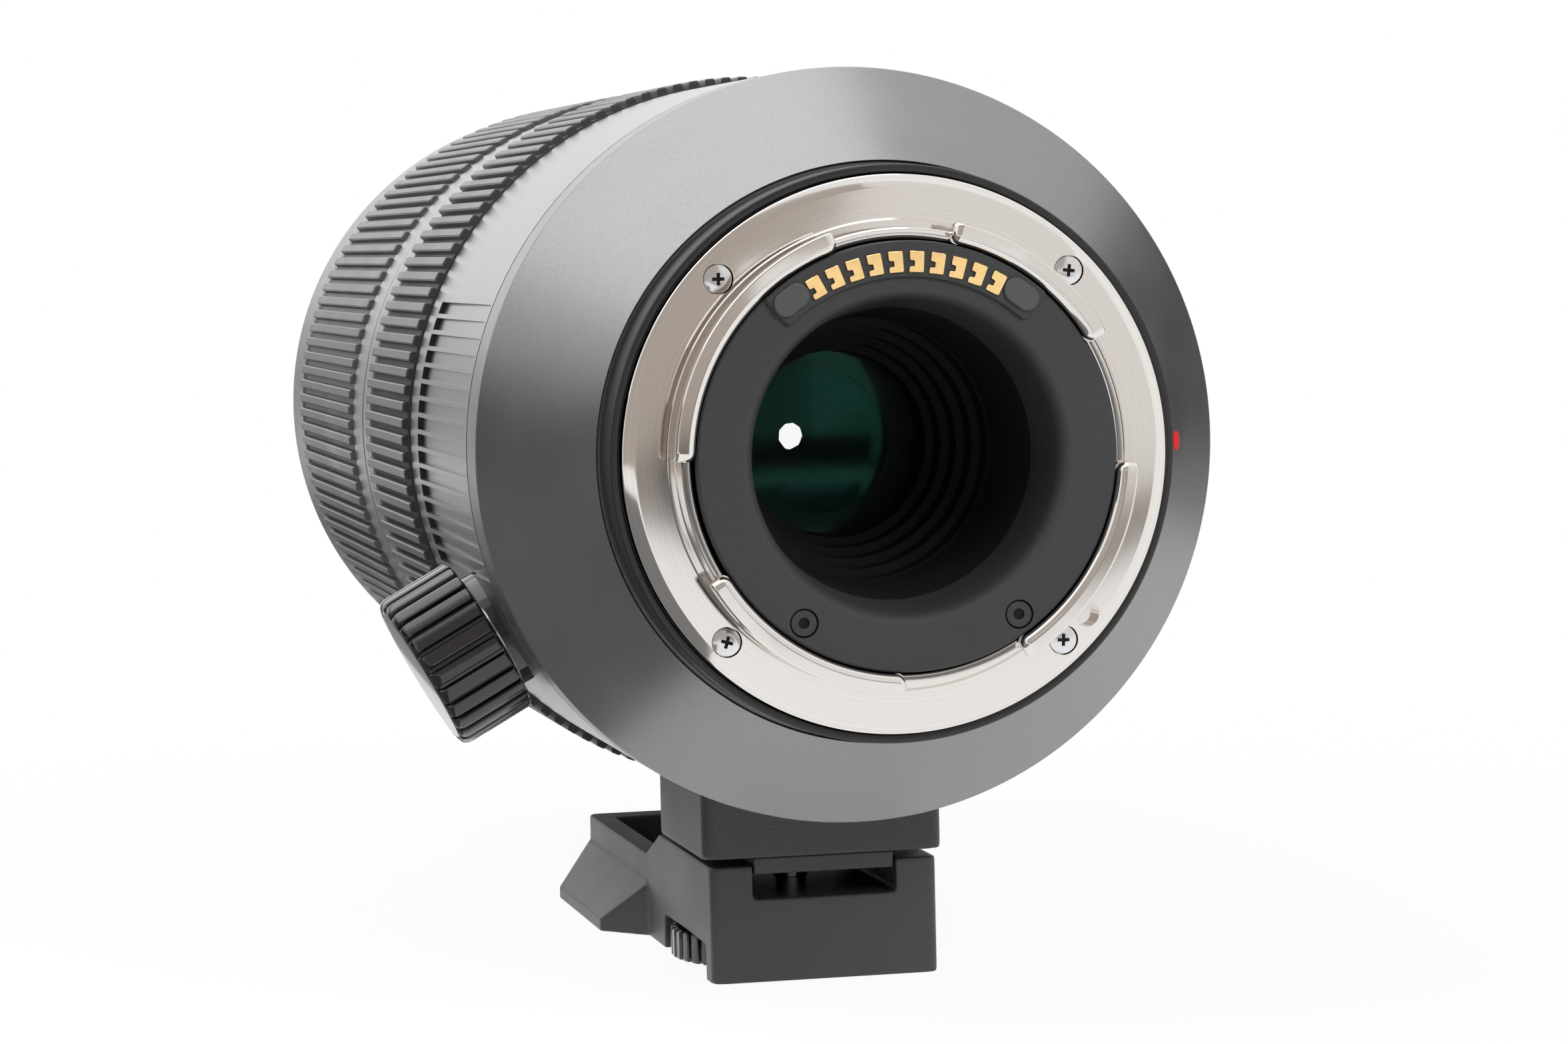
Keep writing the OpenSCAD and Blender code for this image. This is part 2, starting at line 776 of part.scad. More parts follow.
// Fixed tube that carries the collar, the rings and the front barrel
module main_tube() {
    color(black) difference() {
        spun([
            [r_rear_bore, y_tube0], [r_rear, y_tube0], [r_rear, y_shoulder], [r_sleeve, y_shoulder],
            [r_sleeve, y_tube_flange], [r_tube, y_tube_flange], [r_tube, y_tube1],
            [r_tube_bore, y_tube1], [r_tube_bore, y_tube_flange - tube_web_t],
            [r_rear_bore, y_tube_flange - tube_web_t],
            [r_rear_bore, y_inner_lip + inner_lip_t], [r_rear_bore - inner_lip_w, y_inner_lip + inner_lip_t],
            [r_rear_bore - inner_lip_w, y_inner_lip], [r_rear_bore, y_inner_lip]
        ]);
        for (k = [0:follower_count - 1])
            at_angle(follower_angle + k * 360 / follower_count)
                limits_block(r_tube_bore - cut, r_tube + cut, y_follow - slot_reach,
                             y_follow + zoom_travel + slot_reach, -slot_half, slot_half);
    }
}

// Fixed sleeve under the focus ring
module focus_sleeve() {
    color(black) tube(r_sleeve_bore, r_sleeve, y_tube_flange, y_index1);
}

// Smooth fixed band that bears the index line
module index_band() {
    color(satin) tube(r_sleeve, r_band, y_index0, y_index1);
}

// Ring-shaped circuit board behind the mount
module circuit_board() {
    color(board_green)
        tube(housing_bore_r + board_gap, r_cavity - board_gap, y_cavity, y_cavity + board_t);
}

// Inner barrel with a flange, for the rear optics and the iris
module inner_barrel() {
    color(black) difference() {
        union() {
            tube(r_optics, r_optics_out, y_optics0, y_inner_lip);
            tube(r_optics, r_rear_bore - seat_fit, y_optics_flange, y_inner_lip);
        }
        for (a = rod_angles)
            axial_rod(rod_r, rod_at, a, y_rod0, y_inner_lip + cut);
        at_angle(motor_angle)
            limits_block(r_optics - cut, r_optics_out + cut, y_focus_cell0 - arm_slot_gap,
                         y_focus_cell1 + focus_travel + arm_slot_gap,
                         -arm_w / 2 - arm_slot_gap, arm_w / 2 + arm_slot_gap);
    }
}

// Stepped cell of the rear glass
module rear_cell() {
    color(dark) spun(concat(
        [[r_optics, y_optics0]],
        [for (i = [0:rear_steps]) each [
            [baffle_end_r - i * rear_step_w, y_optics0 + i * rear_step_len],
            [baffle_end_r - i * rear_step_w, y_optics0 + (i + 1) * rear_step_len]
        ]],
        [[rear_glass_r, y_rear_seat], [rear_glass_r, y_rear_cell1], [r_optics, y_rear_cell1]]
    ));
}

// Rear glass with a domed rear face
module rear_element() {
    rise = rear_dome_r - sqrt(pow(rear_dome_r, 2) - pow(rear_hole_r, 2));
    color(green) intersection() {
        disc(rear_glass_r - seat_fit, y_rear_seat - rise, y_rear_cell1);
        ball(rear_dome_r, y_rear_seat - rise + rear_dome_r);
    }
}

// Plate that the iris blades are pivoted in
module iris_base() {
    color(dark) difference() {
        tube(iris_hole_r, r_optics, y_iris_base0, y_iris_base1);
        for (k = [1:blade_count])
            blade_spot(k) translate([0, 0, y_iris_base0 - cut])
                cylinder(r = blade_pin_r + blade_pin_fit, h = iris_base_t + 2 * cut);
    }
}

// Plate that closes the iris at the front
module iris_cover() {
    color(dark) tube(iris_hole_r, r_optics, y_cover0, y_cover1);
}

// Motor of the focus group
module focus_motor() {
    color(steel) difference() {
        axial_rod(motor_r, motor_at, motor_angle, y_motor0, y_motor1);
        axial_rod(motor_bore_r, motor_at, motor_angle, y_motor0 - cut, y_motor0 + motor_nest);
    }
}

// Two rods that guide the variator
module guide_rods() {
    color(steel) for (a = rod_angles)
        axial_rod(rod_r, rod_at, a, y_rod0, y_rod1);
}

// Ring that ties the front ends of the rods
module rod_ring() {
    color(black) difference() {
        tube(rod_ring_bore_r, rod_ring_r, y_rod1 - rod_ring_t, y_rod1);
        for (a = rod_angles)
            axial_rod(rod_r, rod_at, a, y_rod1 - rod_ring_t - cut, y_rod1 + cut);
    }
}

// Shallow pockets in the left side of the collar
module relief_pockets() {
    for (i = [0:relief_count - 1])
        at_angle(relief_start + (i + 0.5) * relief_pitch)
            translate([0, 0, -relief_w / 2]) linear_extrude(height = relief_w) polygon([
                [r_collar - relief_rear_depth, y_relief0], [r_collar + cut, y_relief0],
                [r_collar + cut, y_relief1], [r_collar - relief_depth, y_relief1]
            ]);
}

// Place of each neck screw, seen from below
module neck_screw_spots() {
    for (x = [-neck_screw_x, neck_screw_x], y = [y_neck0 + neck_screw_inset, y_neck1 - neck_screw_inset])
        translate([x, y, 0]) children();
}

// Ring that turns round the barrel
module tripod_collar() {
    color(satin) difference() {
        tube(r_collar_bore, r_collar, y_collar0, y_collar1);
        limits_block(-neck_w / 2, neck_w / 2, y_neck0, y_neck1, -r_collar - cut, -neck_let_in);
        relief_pockets();
        outward(knob_angle, y_knob) {
            translate([0, 0, r_bush0]) cylinder(r = bush_r, h = bush_depth + cut);
            cylinder(r = clamp_screw_r + run_fit, h = r_collar);
        }
        neck_screw_spots() translate([0, 0, -neck_let_in - cut])
            cylinder(r = neck_screw_r + seat_fit, h = neck_screw_bite + cut + seat_fit);
    }
}

// Block between the collar and the foot
module collar_neck() {
    color(black) difference() {
        upright_block(-neck_w / 2, neck_w / 2, y_neck0, y_neck1, z_neck, -neck_let_in, neck_corner_r);
        neck_screw_spots() {
            translate([0, 0, z_neck - cut])
                cylinder(r = neck_screw_r + seat_fit, h = neck_drop - neck_let_in + 2 * cut);
            translate([0, 0, z_neck - cut]) cylinder(r = neck_head_r + seat_fit, h = neck_head_t + cut);
        }
    }
}

// Four screws that hold the neck to the collar
module neck_screws() {
    color(steel) neck_screw_spots() translate([0, 0, z_neck]) {
        cylinder(r = neck_head_r, h = neck_head_t);
        cylinder(r = neck_screw_r, h = neck_drop - neck_let_in + neck_screw_bite);
    }
}

// Rail under the neck, with lugs that hook into the foot
module foot_rail() {
    color(steel) {
        limits_block(-rail_w / 2, rail_w / 2, y_neck0 + rail_end_gap, y_neck1 - rail_end_gap,
                     z_rail, z_neck);
        limits_block(-rail_w / 2, rail_w / 2, y_lug0, y_lug1, z_lug, z_rail);
        limits_block(-lug_wing_w / 2, lug_wing_w / 2, y_lug0, y_lug1, z_lug, z_lug + lug_wing_t);
    }
}

// Threaded bush in the collar for the clamp screw
module clamp_bush() {
    color(dark) outward(knob_angle, y_knob) translate([0, 0, r_bush0]) difference() {
        cylinder(r = bush_r, h = r_bush1 - r_bush0);
        translate([0, 0, -cut]) cylinder(r = clamp_screw_r + run_fit, h = r_bush1 - r_bush0 + 2 * cut);
    }
}

// Fluted knob that clamps the collar
module clamp_knob() {
    r = knob_d / 2;
    color(dark) outward(knob_angle, y_knob) translate([0, 0, r_knob0]) difference() {
        intersection() {
            linear_extrude(height = knob_len)
                polygon(ribbed(knob_flutes, r - knob_flute_depth, r, knob_land, knob_flank));
            rotate_extrude() polygon([
                [0, 0], [r, 0], [r, knob_len - knob_edge], [r - knob_round, knob_len - knob_round],
                [r - knob_edge, knob_len], [0, knob_len]
            ]);
        }
        translate([0, 0, -cut]) cylinder(r = clamp_screw_r, h = knob_len - knob_cap_t + cut);
    }
}

// Screw that the knob turns
module clamp_screw() {
    color(steel) outward(knob_angle, y_knob) translate([0, 0, r_collar_bore + clamp_screw_tip])
        cylinder(r = clamp_screw_r, h = r_knob1 - knob_cap_t - r_collar_bore - clamp_screw_tip);
}

// Dovetail flanges of the foot, sloped on top and slanted at both ends
module dovetail() {
    w = dovetail_w / 2;
    b = foot_w / 2;
    y0 = y_foot0 + dovetail_start;
    intersection() {
        translate([0, y_foot1, 0]) rotate([90, 0, 0])
            linear_extrude(height = foot_len - dovetail_start) polygon([
                [-w, z_foot], [w, z_foot], [w, z_foot + dovetail_foot_t],
                [b, z_foot + dovetail_foot_t + dovetail_drop],
                [-b, z_foot + dovetail_foot_t + dovetail_drop], [-w, z_foot + dovetail_foot_t]
            ]);
        translate([0, 0, z_foot]) linear_extrude(height = foot_h) polygon([
            [b, y0], [w, y0 + dovetail_slant], [w, y_foot1 - dovetail_slant], [b, y_foot1],
            [-b, y_foot1], [-w, y_foot1 - dovetail_slant], [-w, y0 + dovetail_slant], [-b, y0]
        ]);
    }
}

// Detachable foot with a channel for the rail, a pocket and a dovetail
module tripod_foot() {
    b = foot_w / 2;
    channel_half = rail_w / 2 + channel_side_gap;
    groove_half = lug_wing_w / 2 + lug_gap;
    color(black) difference() {
        union() {
            intersection() {
                upright_block(-b, b, y_foot0, y_foot1, z_foot, z_foot_top, foot_corner_r);
                rotate([90, 0, 90]) translate([0, 0, -b - cut]) linear_extrude(height = foot_w + 2 * cut)
                    polygon([
                        [y_foot0 - cut, z_foot - cut], [y_foot1 + cut, z_foot - cut],
                        [y_foot1 + cut, z_ledge],
                        [y_foot0 + wall_len + ramp_len, z_ledge], [y_foot0 + wall_len, z_foot_top],
                        [y_foot0 + wall_len, z_foot_top + cut], [y_foot0 - cut, z_foot_top + cut]
                    ]);
            }
            dovetail();
        }
        limits_block(-channel_half, channel_half, y_foot0 - cut, y_foot0 + pocket_start + cut,
                     z_channel, z_foot_top + cut);
        limits_block(-groove_half, groove_half, y_foot0 + pocket_start, y_foot1 - pocket_front_wall,
                     z_pocket, z_foot_top + cut);
        limits_block(-groove_half, groove_half, y_foot0 + groove_start, y_foot0 + pocket_start + cut,
                     z_lug - lug_gap, z_lug + lug_wing_t + lug_gap);
        translate([0, y_wheel, z_foot - cut])
            cylinder(r = wheel_d / 2 + wheel_gap, h = z_wheel1 + turn_gap - z_foot + cut);
        for (s = [-1, 1]) let (x = s * (b - window_depth / 2))
            limits_block(x - window_depth / 2 - cut, x + window_depth / 2 + cut, y_foot0 + window_start,
                         y_foot0 + window_start + window_len, z_foot - cut, z_wheel1 + turn_gap);
        translate([0, y_wheel, z_foot]) cylinder(r = lock_screw_r + run_fit, h = foot_h);
        translate([0, y_foot0 + insert_small_at, z_foot - cut])
            cylinder(r = insert_small_r, h = insert_depth + cut);
        translate([0, y_foot0 + insert_large_at, z_foot - cut])
            cylinder(r = insert_large_r, h = insert_depth + cut);
        stop_screw_spots() translate([0, 0, z_pocket - stop_screw_len])
            cylinder(r = stop_screw_r + seat_fit, h = stop_screw_len + cut);
    }
}

// Threaded insert in the foot's base
module thread_insert(at, r, r_thread) {
    translate([0, y_foot0 + at, z_foot]) difference() {
        cylinder(r = r, h = insert_depth);
        translate([0, 0, -cut]) cylinder(r = r_thread, h = insert_depth + 2 * cut);
    }
}

module thread_insert_small() {
    color(steel) thread_insert(insert_small_at, insert_small_r, thread_small_r);
}

module thread_insert_large() {
    color(steel) thread_insert(insert_large_at, insert_large_r, thread_large_r);
}

// Place of the two stop screws in the foot's pocket
module stop_screw_spots() {
    for (x = [-stop_screw_x, stop_screw_x])
        translate([x, y_foot0 + stop_screw_at, 0]) children();
}

module stop_screws() {
    color(steel) stop_screw_spots() {
        translate([0, 0, z_pocket]) cylinder(r = stop_head_r, h = stop_head_t);
        translate([0, 0, z_pocket - stop_screw_len]) cylinder(r = stop_screw_r, h = stop_screw_len);
    }
}

// Notched wheel that locks the foot
module lock_wheel() {
    r = wheel_d / 2;
    color(dark) translate([0, y_wheel, z_wheel0]) difference() {
        linear_extrude(height = wheel_t)
            polygon(ribbed(wheel_notches, r - wheel_notch_depth, r, wheel_land, wheel_flank));
        translate([0, 0, -cut]) cylinder(r = lock_screw_r, h = wheel_t + 2 * cut);
    }
}

// Screw that the wheel drives up against the rail
module lock_screw() {
    color(steel) translate([0, y_wheel, z_wheel0])
        cylinder(r = lock_screw_r, h = z_rail - lock_tip_gap - z_wheel0);
}

// Ribbed focus ring
module focus_ring() {
    color(satin) difference() {
        grip(y_focus0, y_focus1);
        disc(r_focus_bore, y_focus0 - cut, y_focus1 + cut);
    }
}

// Ribbed zoom ring with a smooth strip for its numbers
module zoom_ring() {
    color(satin) difference() {
        union() {
            disc(r_band, y_zoom0, y_grip0);
            grip(y_grip0, y_zoom1);
        }
        disc(r_cam, y_zoom0 - cut, y_zoom1 + cut);
    }
}

// Cam tube fixed inside the zoom ring, with a spiral slot for each follower
module zoom_cam_tube() {
    half = cam_slot_half_angle;
    color(steel) difference() {
        tube(r_cam_bore, r_cam, y_follow - cam_rear, y_tube1);
        for (k = [0:follower_count - 1])
            at_angle(follower_angle + k * 360 / follower_count - cam_slot_turn * slot_reach / cam_slot_len)
                along_axis() translate([0, 0, y_follow - slot_reach])
                    linear_extrude(height = cam_slot_len, twist = cam_slot_turn, slices = cam_slices,
                                   $fn = cam_segments)
                        polygon([
                            (r_cam_bore - cut) * [cos(half), -sin(half)],
                            (r_cam + cut) * [cos(half), -sin(half)],
                            (r_cam + cut) * [cos(half), sin(half)],
                            (r_cam_bore - cut) * [cos(half), sin(half)]
                        ]);
    }
}

// Direction of each follower in the front barrel
module follower_spots() {
    for (k = [0:follower_count - 1])
        outward(follower_angle + k * 360 / follower_count, y_follow) children();
}

// Tube that slides out as the lens zooms in
module front_barrel() {
    color(black) difference() {
        union() {
            tube(r_barrel_bore, r_barrel, y_barrel0, y_seat);
            tube(r_barrel_bore - glass_ledge_w, r_barrel, y_ledge0, y_glass0);
        }
        follower_spots() cylinder(r = r_follower, h = r_barrel + cut);
    }
}

// Followers that run in the cam slots
module cam_followers() {
    color(brass) follower_spots() translate([0, 0, r_barrel_bore + seat_fit])
        cylinder(r = r_follower, h = r_cam - follower_gap - r_barrel_bore - seat_fit);
}

// Front rim with the filter thread
module front_rim() {
    color(black) spun([
        [r_barrel, y_rim0], [r_rim, y_rim0], [r_rim, y_front - rim_chamfer], [r_rim - rim_chamfer, y_front],
        [r_filter, y_front], [r_filter, y_front - filter_thread_len],
        [r_barrel_bore, y_front - filter_thread_len], [r_barrel_bore, y_seat], [r_barrel, y_seat]
    ]);
}

// Ring that holds the front glass
module front_retainer() {
    color(dark) tube(r_hold, r_glass, y_glass1, y_seat);
}

// Domed front glass
module front_element() {
    rise = front_dome_r - sqrt(pow(front_dome_r, 2) - pow(r_hold, 2));
    color(glass) intersection() {
        disc(r_glass, y_glass0, y_glass1 + rise);
        ball(front_dome_r, y_glass1 + rise - front_dome_r);
    }
}

// Second front glass, hollow at the rear
module second_element() {
    color(glass) difference() {
        disc(r_glass, y_second0, y_ledge0);
        ball(second_hollow_r, y_second0 + second_hollow_depth - second_hollow_r);
    }
}

// Cell that slides on the rods
module variator_cell() {
    y1 = y_variator + variator_cell_t;
    color(black) difference() {
        union() {
            disc(variator_glass_r + variator_glass_wall, y_variator, y1);
            for (a = rod_angles) {
                axial_rod(variator_lug_r, rod_at, a, y_variator, y1);
                at_angle(a) limits_block(0, rod_at, y_variator, y1, -variator_lug_r, variator_lug_r);
            }
        }
        disc(variator_glass_r - variator_glass_lip, y_variator - cut, y1 + cut);
        disc(variator_glass_r, y_variator + variator_glass_lip, y1 + cut);
        for (a = rod_angles)
            axial_rod(rod_r + run_fit, rod_at, a, y_variator - cut, y1 + cut);
    }
}

// Hollow glass that changes the focal length
module variator_element() {
    y0 = y_variator + variator_glass_lip;
    y1 = y_variator + variator_cell_t;
    color(glass) difference() {
        disc(variator_glass_r - seat_fit, y0, y1);
        ball(variator_hollow_r, y0 + variator_hollow_depth - variator_hollow_r);
        ball(variator_hollow_r, y1 - variator_hollow_depth + variator_hollow_r);
    }
}

// Cell of the focus group with its drive arm
module focus_cell() {
    color(black) difference() {
        union() {
            disc(r_optics - run_fit, y_focus_cell0, y_focus_cell1);
            at_angle(motor_angle)
                limits_block(r_optics - arm_root, motor_at + arm_half_l, y_focus_cell0, y_focus_cell1,
                             -arm_w / 2, arm_w / 2);
        }
        disc(focus_glass_r - focus_glass_wall, y_focus_cell0 - cut, y_focus_cell1 + cut);
        disc(focus_glass_r, y_focus_cell1 - focus_glass_t, y_focus_cell1 + cut);
        axial_rod(screw_r + run_fit, motor_at, motor_angle, y_focus_cell0 - cut, y_focus_cell1 + cut);
    }
}

// Glass of the focus group
module focus_element() {
    y0 = y_focus_cell1 - focus_glass_t;
    color(glass) intersection() {
        disc(focus_glass_r - seat_fit, y0, y_focus_cell1);
        ball(focus_dome_r, y_focus_cell1 - focus_dome_r);
    }
}

// Lead screw that moves the focus group
module focus_lead_screw() {
    color(brass) axial_rod(screw_r, motor_at, motor_angle, y_focus_cell0 - screw_rear,
                           y_motor0 + motor_nest - seat_fit);
}

// Ring that swings the iris blades
module iris_ring() {
    color(dark) difference() {
        tube(iris_hole_r, r_optics - run_fit, y_iris_ring0, y_iris_ring1);
        for (k = [1:blade_count])
            at_angle(-k * 360 / blade_count)
                limits_block(blade_pivot_r - iris_slot_inset - iris_slot_l, blade_pivot_r - iris_slot_inset,
                             y_iris_ring0 - cut, y_iris_ring1 + cut, -iris_slot_w / 2, iris_slot_w / 2);
    }
}

// Pivot of one iris blade
module blade_spot(k) {
    along_axis() rotate([0, 0, k * 360 / blade_count]) translate([blade_pivot_r, 0, 0]) children();
}

// One blade, swung in to the stopped-down opening
module iris_blade(k) {
    y = y_blade0 + (k - 1) * blade_pitch;
    color(black) blade_spot(k) {
        translate([0, 0, y]) rotate([0, 0, blade_swing]) translate([-blade_pivot_r, 0, 0]) {
            rotate_extrude(angle = blade_sweep)
                translate([blade_bore_r, 0]) square([blade_r - blade_bore_r, blade_t]);
            translate([blade_bore_r, 0, 0]) cube([blade_pivot_r - blade_bore_r, blade_ear_w / 2, blade_t]);
            translate([blade_pivot_r, 0, 0]) cylinder(r = blade_ear_r, h = blade_t);
        }
        translate([0, 0, y_iris_base0]) cylinder(r = blade_pin_r, h = y - y_iris_base0);
    }
}

mount_bayonet();
mount_screws();
mount_seal();
contact_block();
contact_pads();
rear_baffle();
baffle_screws();
rear_housing();
index_dot();
main_tube();
focus_sleeve();
index_band();
circuit_board();
inner_barrel();
rear_cell();
rear_element();
iris_base();
iris_cover();
focus_motor();
guide_rods();
rod_ring();
tripod_collar();
collar_neck();
neck_screws();
foot_rail();
clamp_bush();
clamp_knob();
clamp_screw();
tripod_foot();
thread_insert_small();
thread_insert_large();
stop_screws();
lock_wheel();
lock_screw();
focus_ring();
zoom_ring();
zoom_cam_tube();
front_barrel();
cam_followers();
front_rim();
front_retainer();
front_element();
second_element();
variator_cell();
variator_element();
focus_cell();
focus_element();
focus_lead_screw();
iris_ring();
for (k = [1:blade_count])
    iris_blade(k);
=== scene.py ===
# %% [markdown]
# # A telephoto zoom lens, seen from behind
# The lens stands on its tripod foot and shows its bayonet mount. Its solids come packed from the
# construction step, with a frame that has the flange's centre as origin, +Y forward along the
# optical axis and +Z up. Here they get eased edges, fine parts and finishes, and nothing is moved.

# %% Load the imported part
import json
import math

import bmesh
import bpy
from mathutils import Matrix, Vector

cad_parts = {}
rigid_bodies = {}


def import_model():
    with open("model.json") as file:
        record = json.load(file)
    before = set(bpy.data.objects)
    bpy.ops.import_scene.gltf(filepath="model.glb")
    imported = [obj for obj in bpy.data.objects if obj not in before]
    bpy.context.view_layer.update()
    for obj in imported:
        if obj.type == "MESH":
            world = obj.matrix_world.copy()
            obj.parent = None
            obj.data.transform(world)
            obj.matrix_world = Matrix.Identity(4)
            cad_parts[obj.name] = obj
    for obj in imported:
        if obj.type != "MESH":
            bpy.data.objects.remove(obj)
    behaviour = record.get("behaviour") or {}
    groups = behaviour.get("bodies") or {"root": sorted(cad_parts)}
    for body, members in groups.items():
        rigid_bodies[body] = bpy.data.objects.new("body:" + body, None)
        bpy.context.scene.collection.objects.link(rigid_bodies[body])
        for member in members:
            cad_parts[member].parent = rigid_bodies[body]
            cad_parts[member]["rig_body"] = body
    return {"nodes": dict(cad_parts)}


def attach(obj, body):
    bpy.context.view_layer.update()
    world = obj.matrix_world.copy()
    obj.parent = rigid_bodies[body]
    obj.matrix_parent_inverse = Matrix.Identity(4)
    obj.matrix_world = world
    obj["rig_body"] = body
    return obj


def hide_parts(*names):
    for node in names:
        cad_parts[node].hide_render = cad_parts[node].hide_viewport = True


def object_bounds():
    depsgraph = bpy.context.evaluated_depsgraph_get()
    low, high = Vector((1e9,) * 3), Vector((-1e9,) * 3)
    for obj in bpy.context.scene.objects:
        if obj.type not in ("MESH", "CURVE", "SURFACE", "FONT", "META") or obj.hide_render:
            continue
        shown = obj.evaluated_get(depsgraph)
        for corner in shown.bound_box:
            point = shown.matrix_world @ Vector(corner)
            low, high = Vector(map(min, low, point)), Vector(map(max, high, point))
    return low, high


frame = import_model()
cad_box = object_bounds()
MM = 0.001
print(len(frame["nodes"]), "solids; box in mm", [round((b - a) / MM, 1) for a, b in zip(*cad_box)])

# %% [markdown]
# ## The camera
# A photographed circle turns into an ellipse, so circles of known size on a lens tell where the camera
# stood. The view below comes from such circles: how far the lens is turned and tipped, how the camera
# rolls, and where the flange's centre lies from the camera. The focal length is in pixels of the photo.

# %% Set up the camera
IMAGE_WIDTH_PX = 2355
FOCAL_PX = 6600
SENSOR_WIDTH = 36
LENS_YAW, LENS_PITCH, CAMERA_ROLL = -0.224, -0.058, -0.037
FLANGE_FROM_CAMERA = Vector((12.49, -7.255, 477.365)) * MM
CLIP_START = 0.01

forward = Vector((math.sin(LENS_YAW) * math.cos(LENS_PITCH), math.sin(LENS_PITCH),
                  math.cos(LENS_YAW) * math.cos(LENS_PITCH)))
right = Vector((0, 1, 0)).cross(forward).normalized()
down = forward.cross(right)
roll = Matrix.Rotation(CAMERA_ROLL, 3, forward)
right, down = roll @ right, roll @ down
to_lens = Matrix((right, forward, -down))

camera = bpy.data.objects.new("camera", bpy.data.cameras.new("camera"))
bpy.context.scene.collection.objects.link(camera)
camera.matrix_world = (Matrix.Translation(to_lens @ -FLANGE_FROM_CAMERA)
                       @ (to_lens @ Matrix.Diagonal((1, -1, -1))).to_4x4())
camera.data.sensor_width = SENSOR_WIDTH
camera.data.lens = FOCAL_PX / IMAGE_WIDTH_PX * SENSOR_WIDTH
camera.data.clip_start = CLIP_START
bpy.context.scene.camera = camera
bpy.context.scene.view_settings.view_transform = "Standard"
print("camera at", [round(v / MM) for v in camera.location], "mm, lens", round(camera.data.lens, 1), "mm")

# %% [markdown]
# ## A small kit for node trees
# Shaders and repeating parts are both node trees. One helper makes a node and fills its sockets, so that
# each tree below reads as a short list: a value that is another node's output becomes a link. A second
# helper clears the nodes that Blender puts into each new tree.

# %% Helpers for nodes
def add(tree, kind, inputs=None, **settings):
    """Adds a node, sets its properties, and fills or links its input sockets by name or number."""
    node = tree.nodes.new(kind)
    for key, value in settings.items():
        setattr(node, key, value)
    for key, value in (inputs or {}).items():
        if isinstance(value, bpy.types.NodeSocket):
            tree.links.new(value, node.inputs[key])
        else:
            node.inputs[key].default_value = value
    return node


def emptied_tree(owner):
    """The node tree of a world or a material, without the nodes that it comes with."""
    owner.use_nodes = True
    owner.node_tree.nodes.clear()
    return owner.node_tree


print("node helpers ready")

# %% [markdown]
# ## Studio
# The photo has a clean white ground. The world gives a plain, even light, and is white wherever the
# camera, a reflection or a look through glass meets it. The floor does the same with most of its light.
# The rest is lit in the usual way close to the lens, where the soft shadow lies, and fades out with the
# distance, so that no horizon shows.

# %% World and floor
PLAIN_LEVEL = 0.42
GLOW_NEAR = 0.93
SHADOW_CORE, SHADOW_REACH = 0.05, 0.3
FLOOR_SIZE, FLOOR_GAP, FLOOR_TONE = 6, 0.0001, 0.8
LENS_MIDDLE = Vector((0, 0.06, 0))
PLAIN_WHITE = (1, 1, 1, 1)


def seen_directly(tree):
    """1 for rays from the camera, from reflections and through glass, 0 for light on surfaces."""
    path = add(tree, "ShaderNodeLightPath")
    shiny = add(tree, "ShaderNodeMath", {0: path.outputs["Is Glossy Ray"],
                                         1: path.outputs["Is Transmission Ray"]}, operation="MAXIMUM")
    return add(tree, "ShaderNodeMath", {0: path.outputs["Is Camera Ray"], 1: shiny.outputs[0]},
               operation="MAXIMUM").outputs[0]


world = bpy.data.worlds.new("studio")
bpy.context.scene.world = world
tree = emptied_tree(world)
lit = add(tree, "ShaderNodeBackground", {"Color": PLAIN_WHITE, "Strength": PLAIN_LEVEL})
shown = add(tree, "ShaderNodeBackground", {"Color": PLAIN_WHITE, "Strength": 1})
mix = add(tree, "ShaderNodeMixShader", {0: seen_directly(tree), 1: lit.outputs[0], 2: shown.outputs[0]})
add(tree, "ShaderNodeOutputWorld", {"Surface": mix.outputs[0]})

floor_material = bpy.data.materials.new("white_floor")
tree = emptied_tree(floor_material)
paint = add(tree, "ShaderNodeBsdfDiffuse", {"Color": (FLOOR_TONE, FLOOR_TONE, FLOOR_TONE, 1)})
glow = add(tree, "ShaderNodeEmission", {"Color": PLAIN_WHITE})
spot = add(tree, "ShaderNodeVectorMath", {0: add(tree, "ShaderNodeTexCoord").outputs["Object"],
                                          1: LENS_MIDDLE}, operation="DISTANCE")
far = add(tree, "ShaderNodeMapRange", {"Value": spot.outputs["Value"], "From Min": SHADOW_CORE,
                                       "From Max": SHADOW_REACH, "To Min": GLOW_NEAR, "To Max": 1},
          interpolation_type="SMOOTHSTEP")
share = add(tree, "ShaderNodeMath", {0: seen_directly(tree), 1: far.outputs[0]}, operation="MULTIPLY")
mix = add(tree, "ShaderNodeMixShader", {0: share.outputs[0], 1: paint.outputs[0], 2: glow.outputs[0]})
add(tree, "ShaderNodeOutputMaterial", {"Surface": mix.outputs[0]})

floor_z = cad_box[0].z - FLOOR_GAP
bpy.ops.mesh.primitive_plane_add(size=FLOOR_SIZE, location=(0, 0, floor_z))
floor = bpy.context.object
floor.name = "floor"
floor.data.materials.append(floor_material)
print("floor at", round(floor_z / MM, 1), "mm")

# %% [markdown]
# ## Lamps and reflection cards
# Two soft boxes light the lens. Metal looks like metal only when it has bright and dark things to reflect,
# so cards stand outside the picture, seen by reflections alone, as with the flags of a product studio.

# %% Helpers for lamps and cards
def aim(obj, place, target=LENS_MIDDLE):
    """Sets an object at a place and turns it to a target."""
    obj.location = place
    obj.rotation_euler = (target - Vector(place)).to_track_quat("-Z", "Y").to_euler()


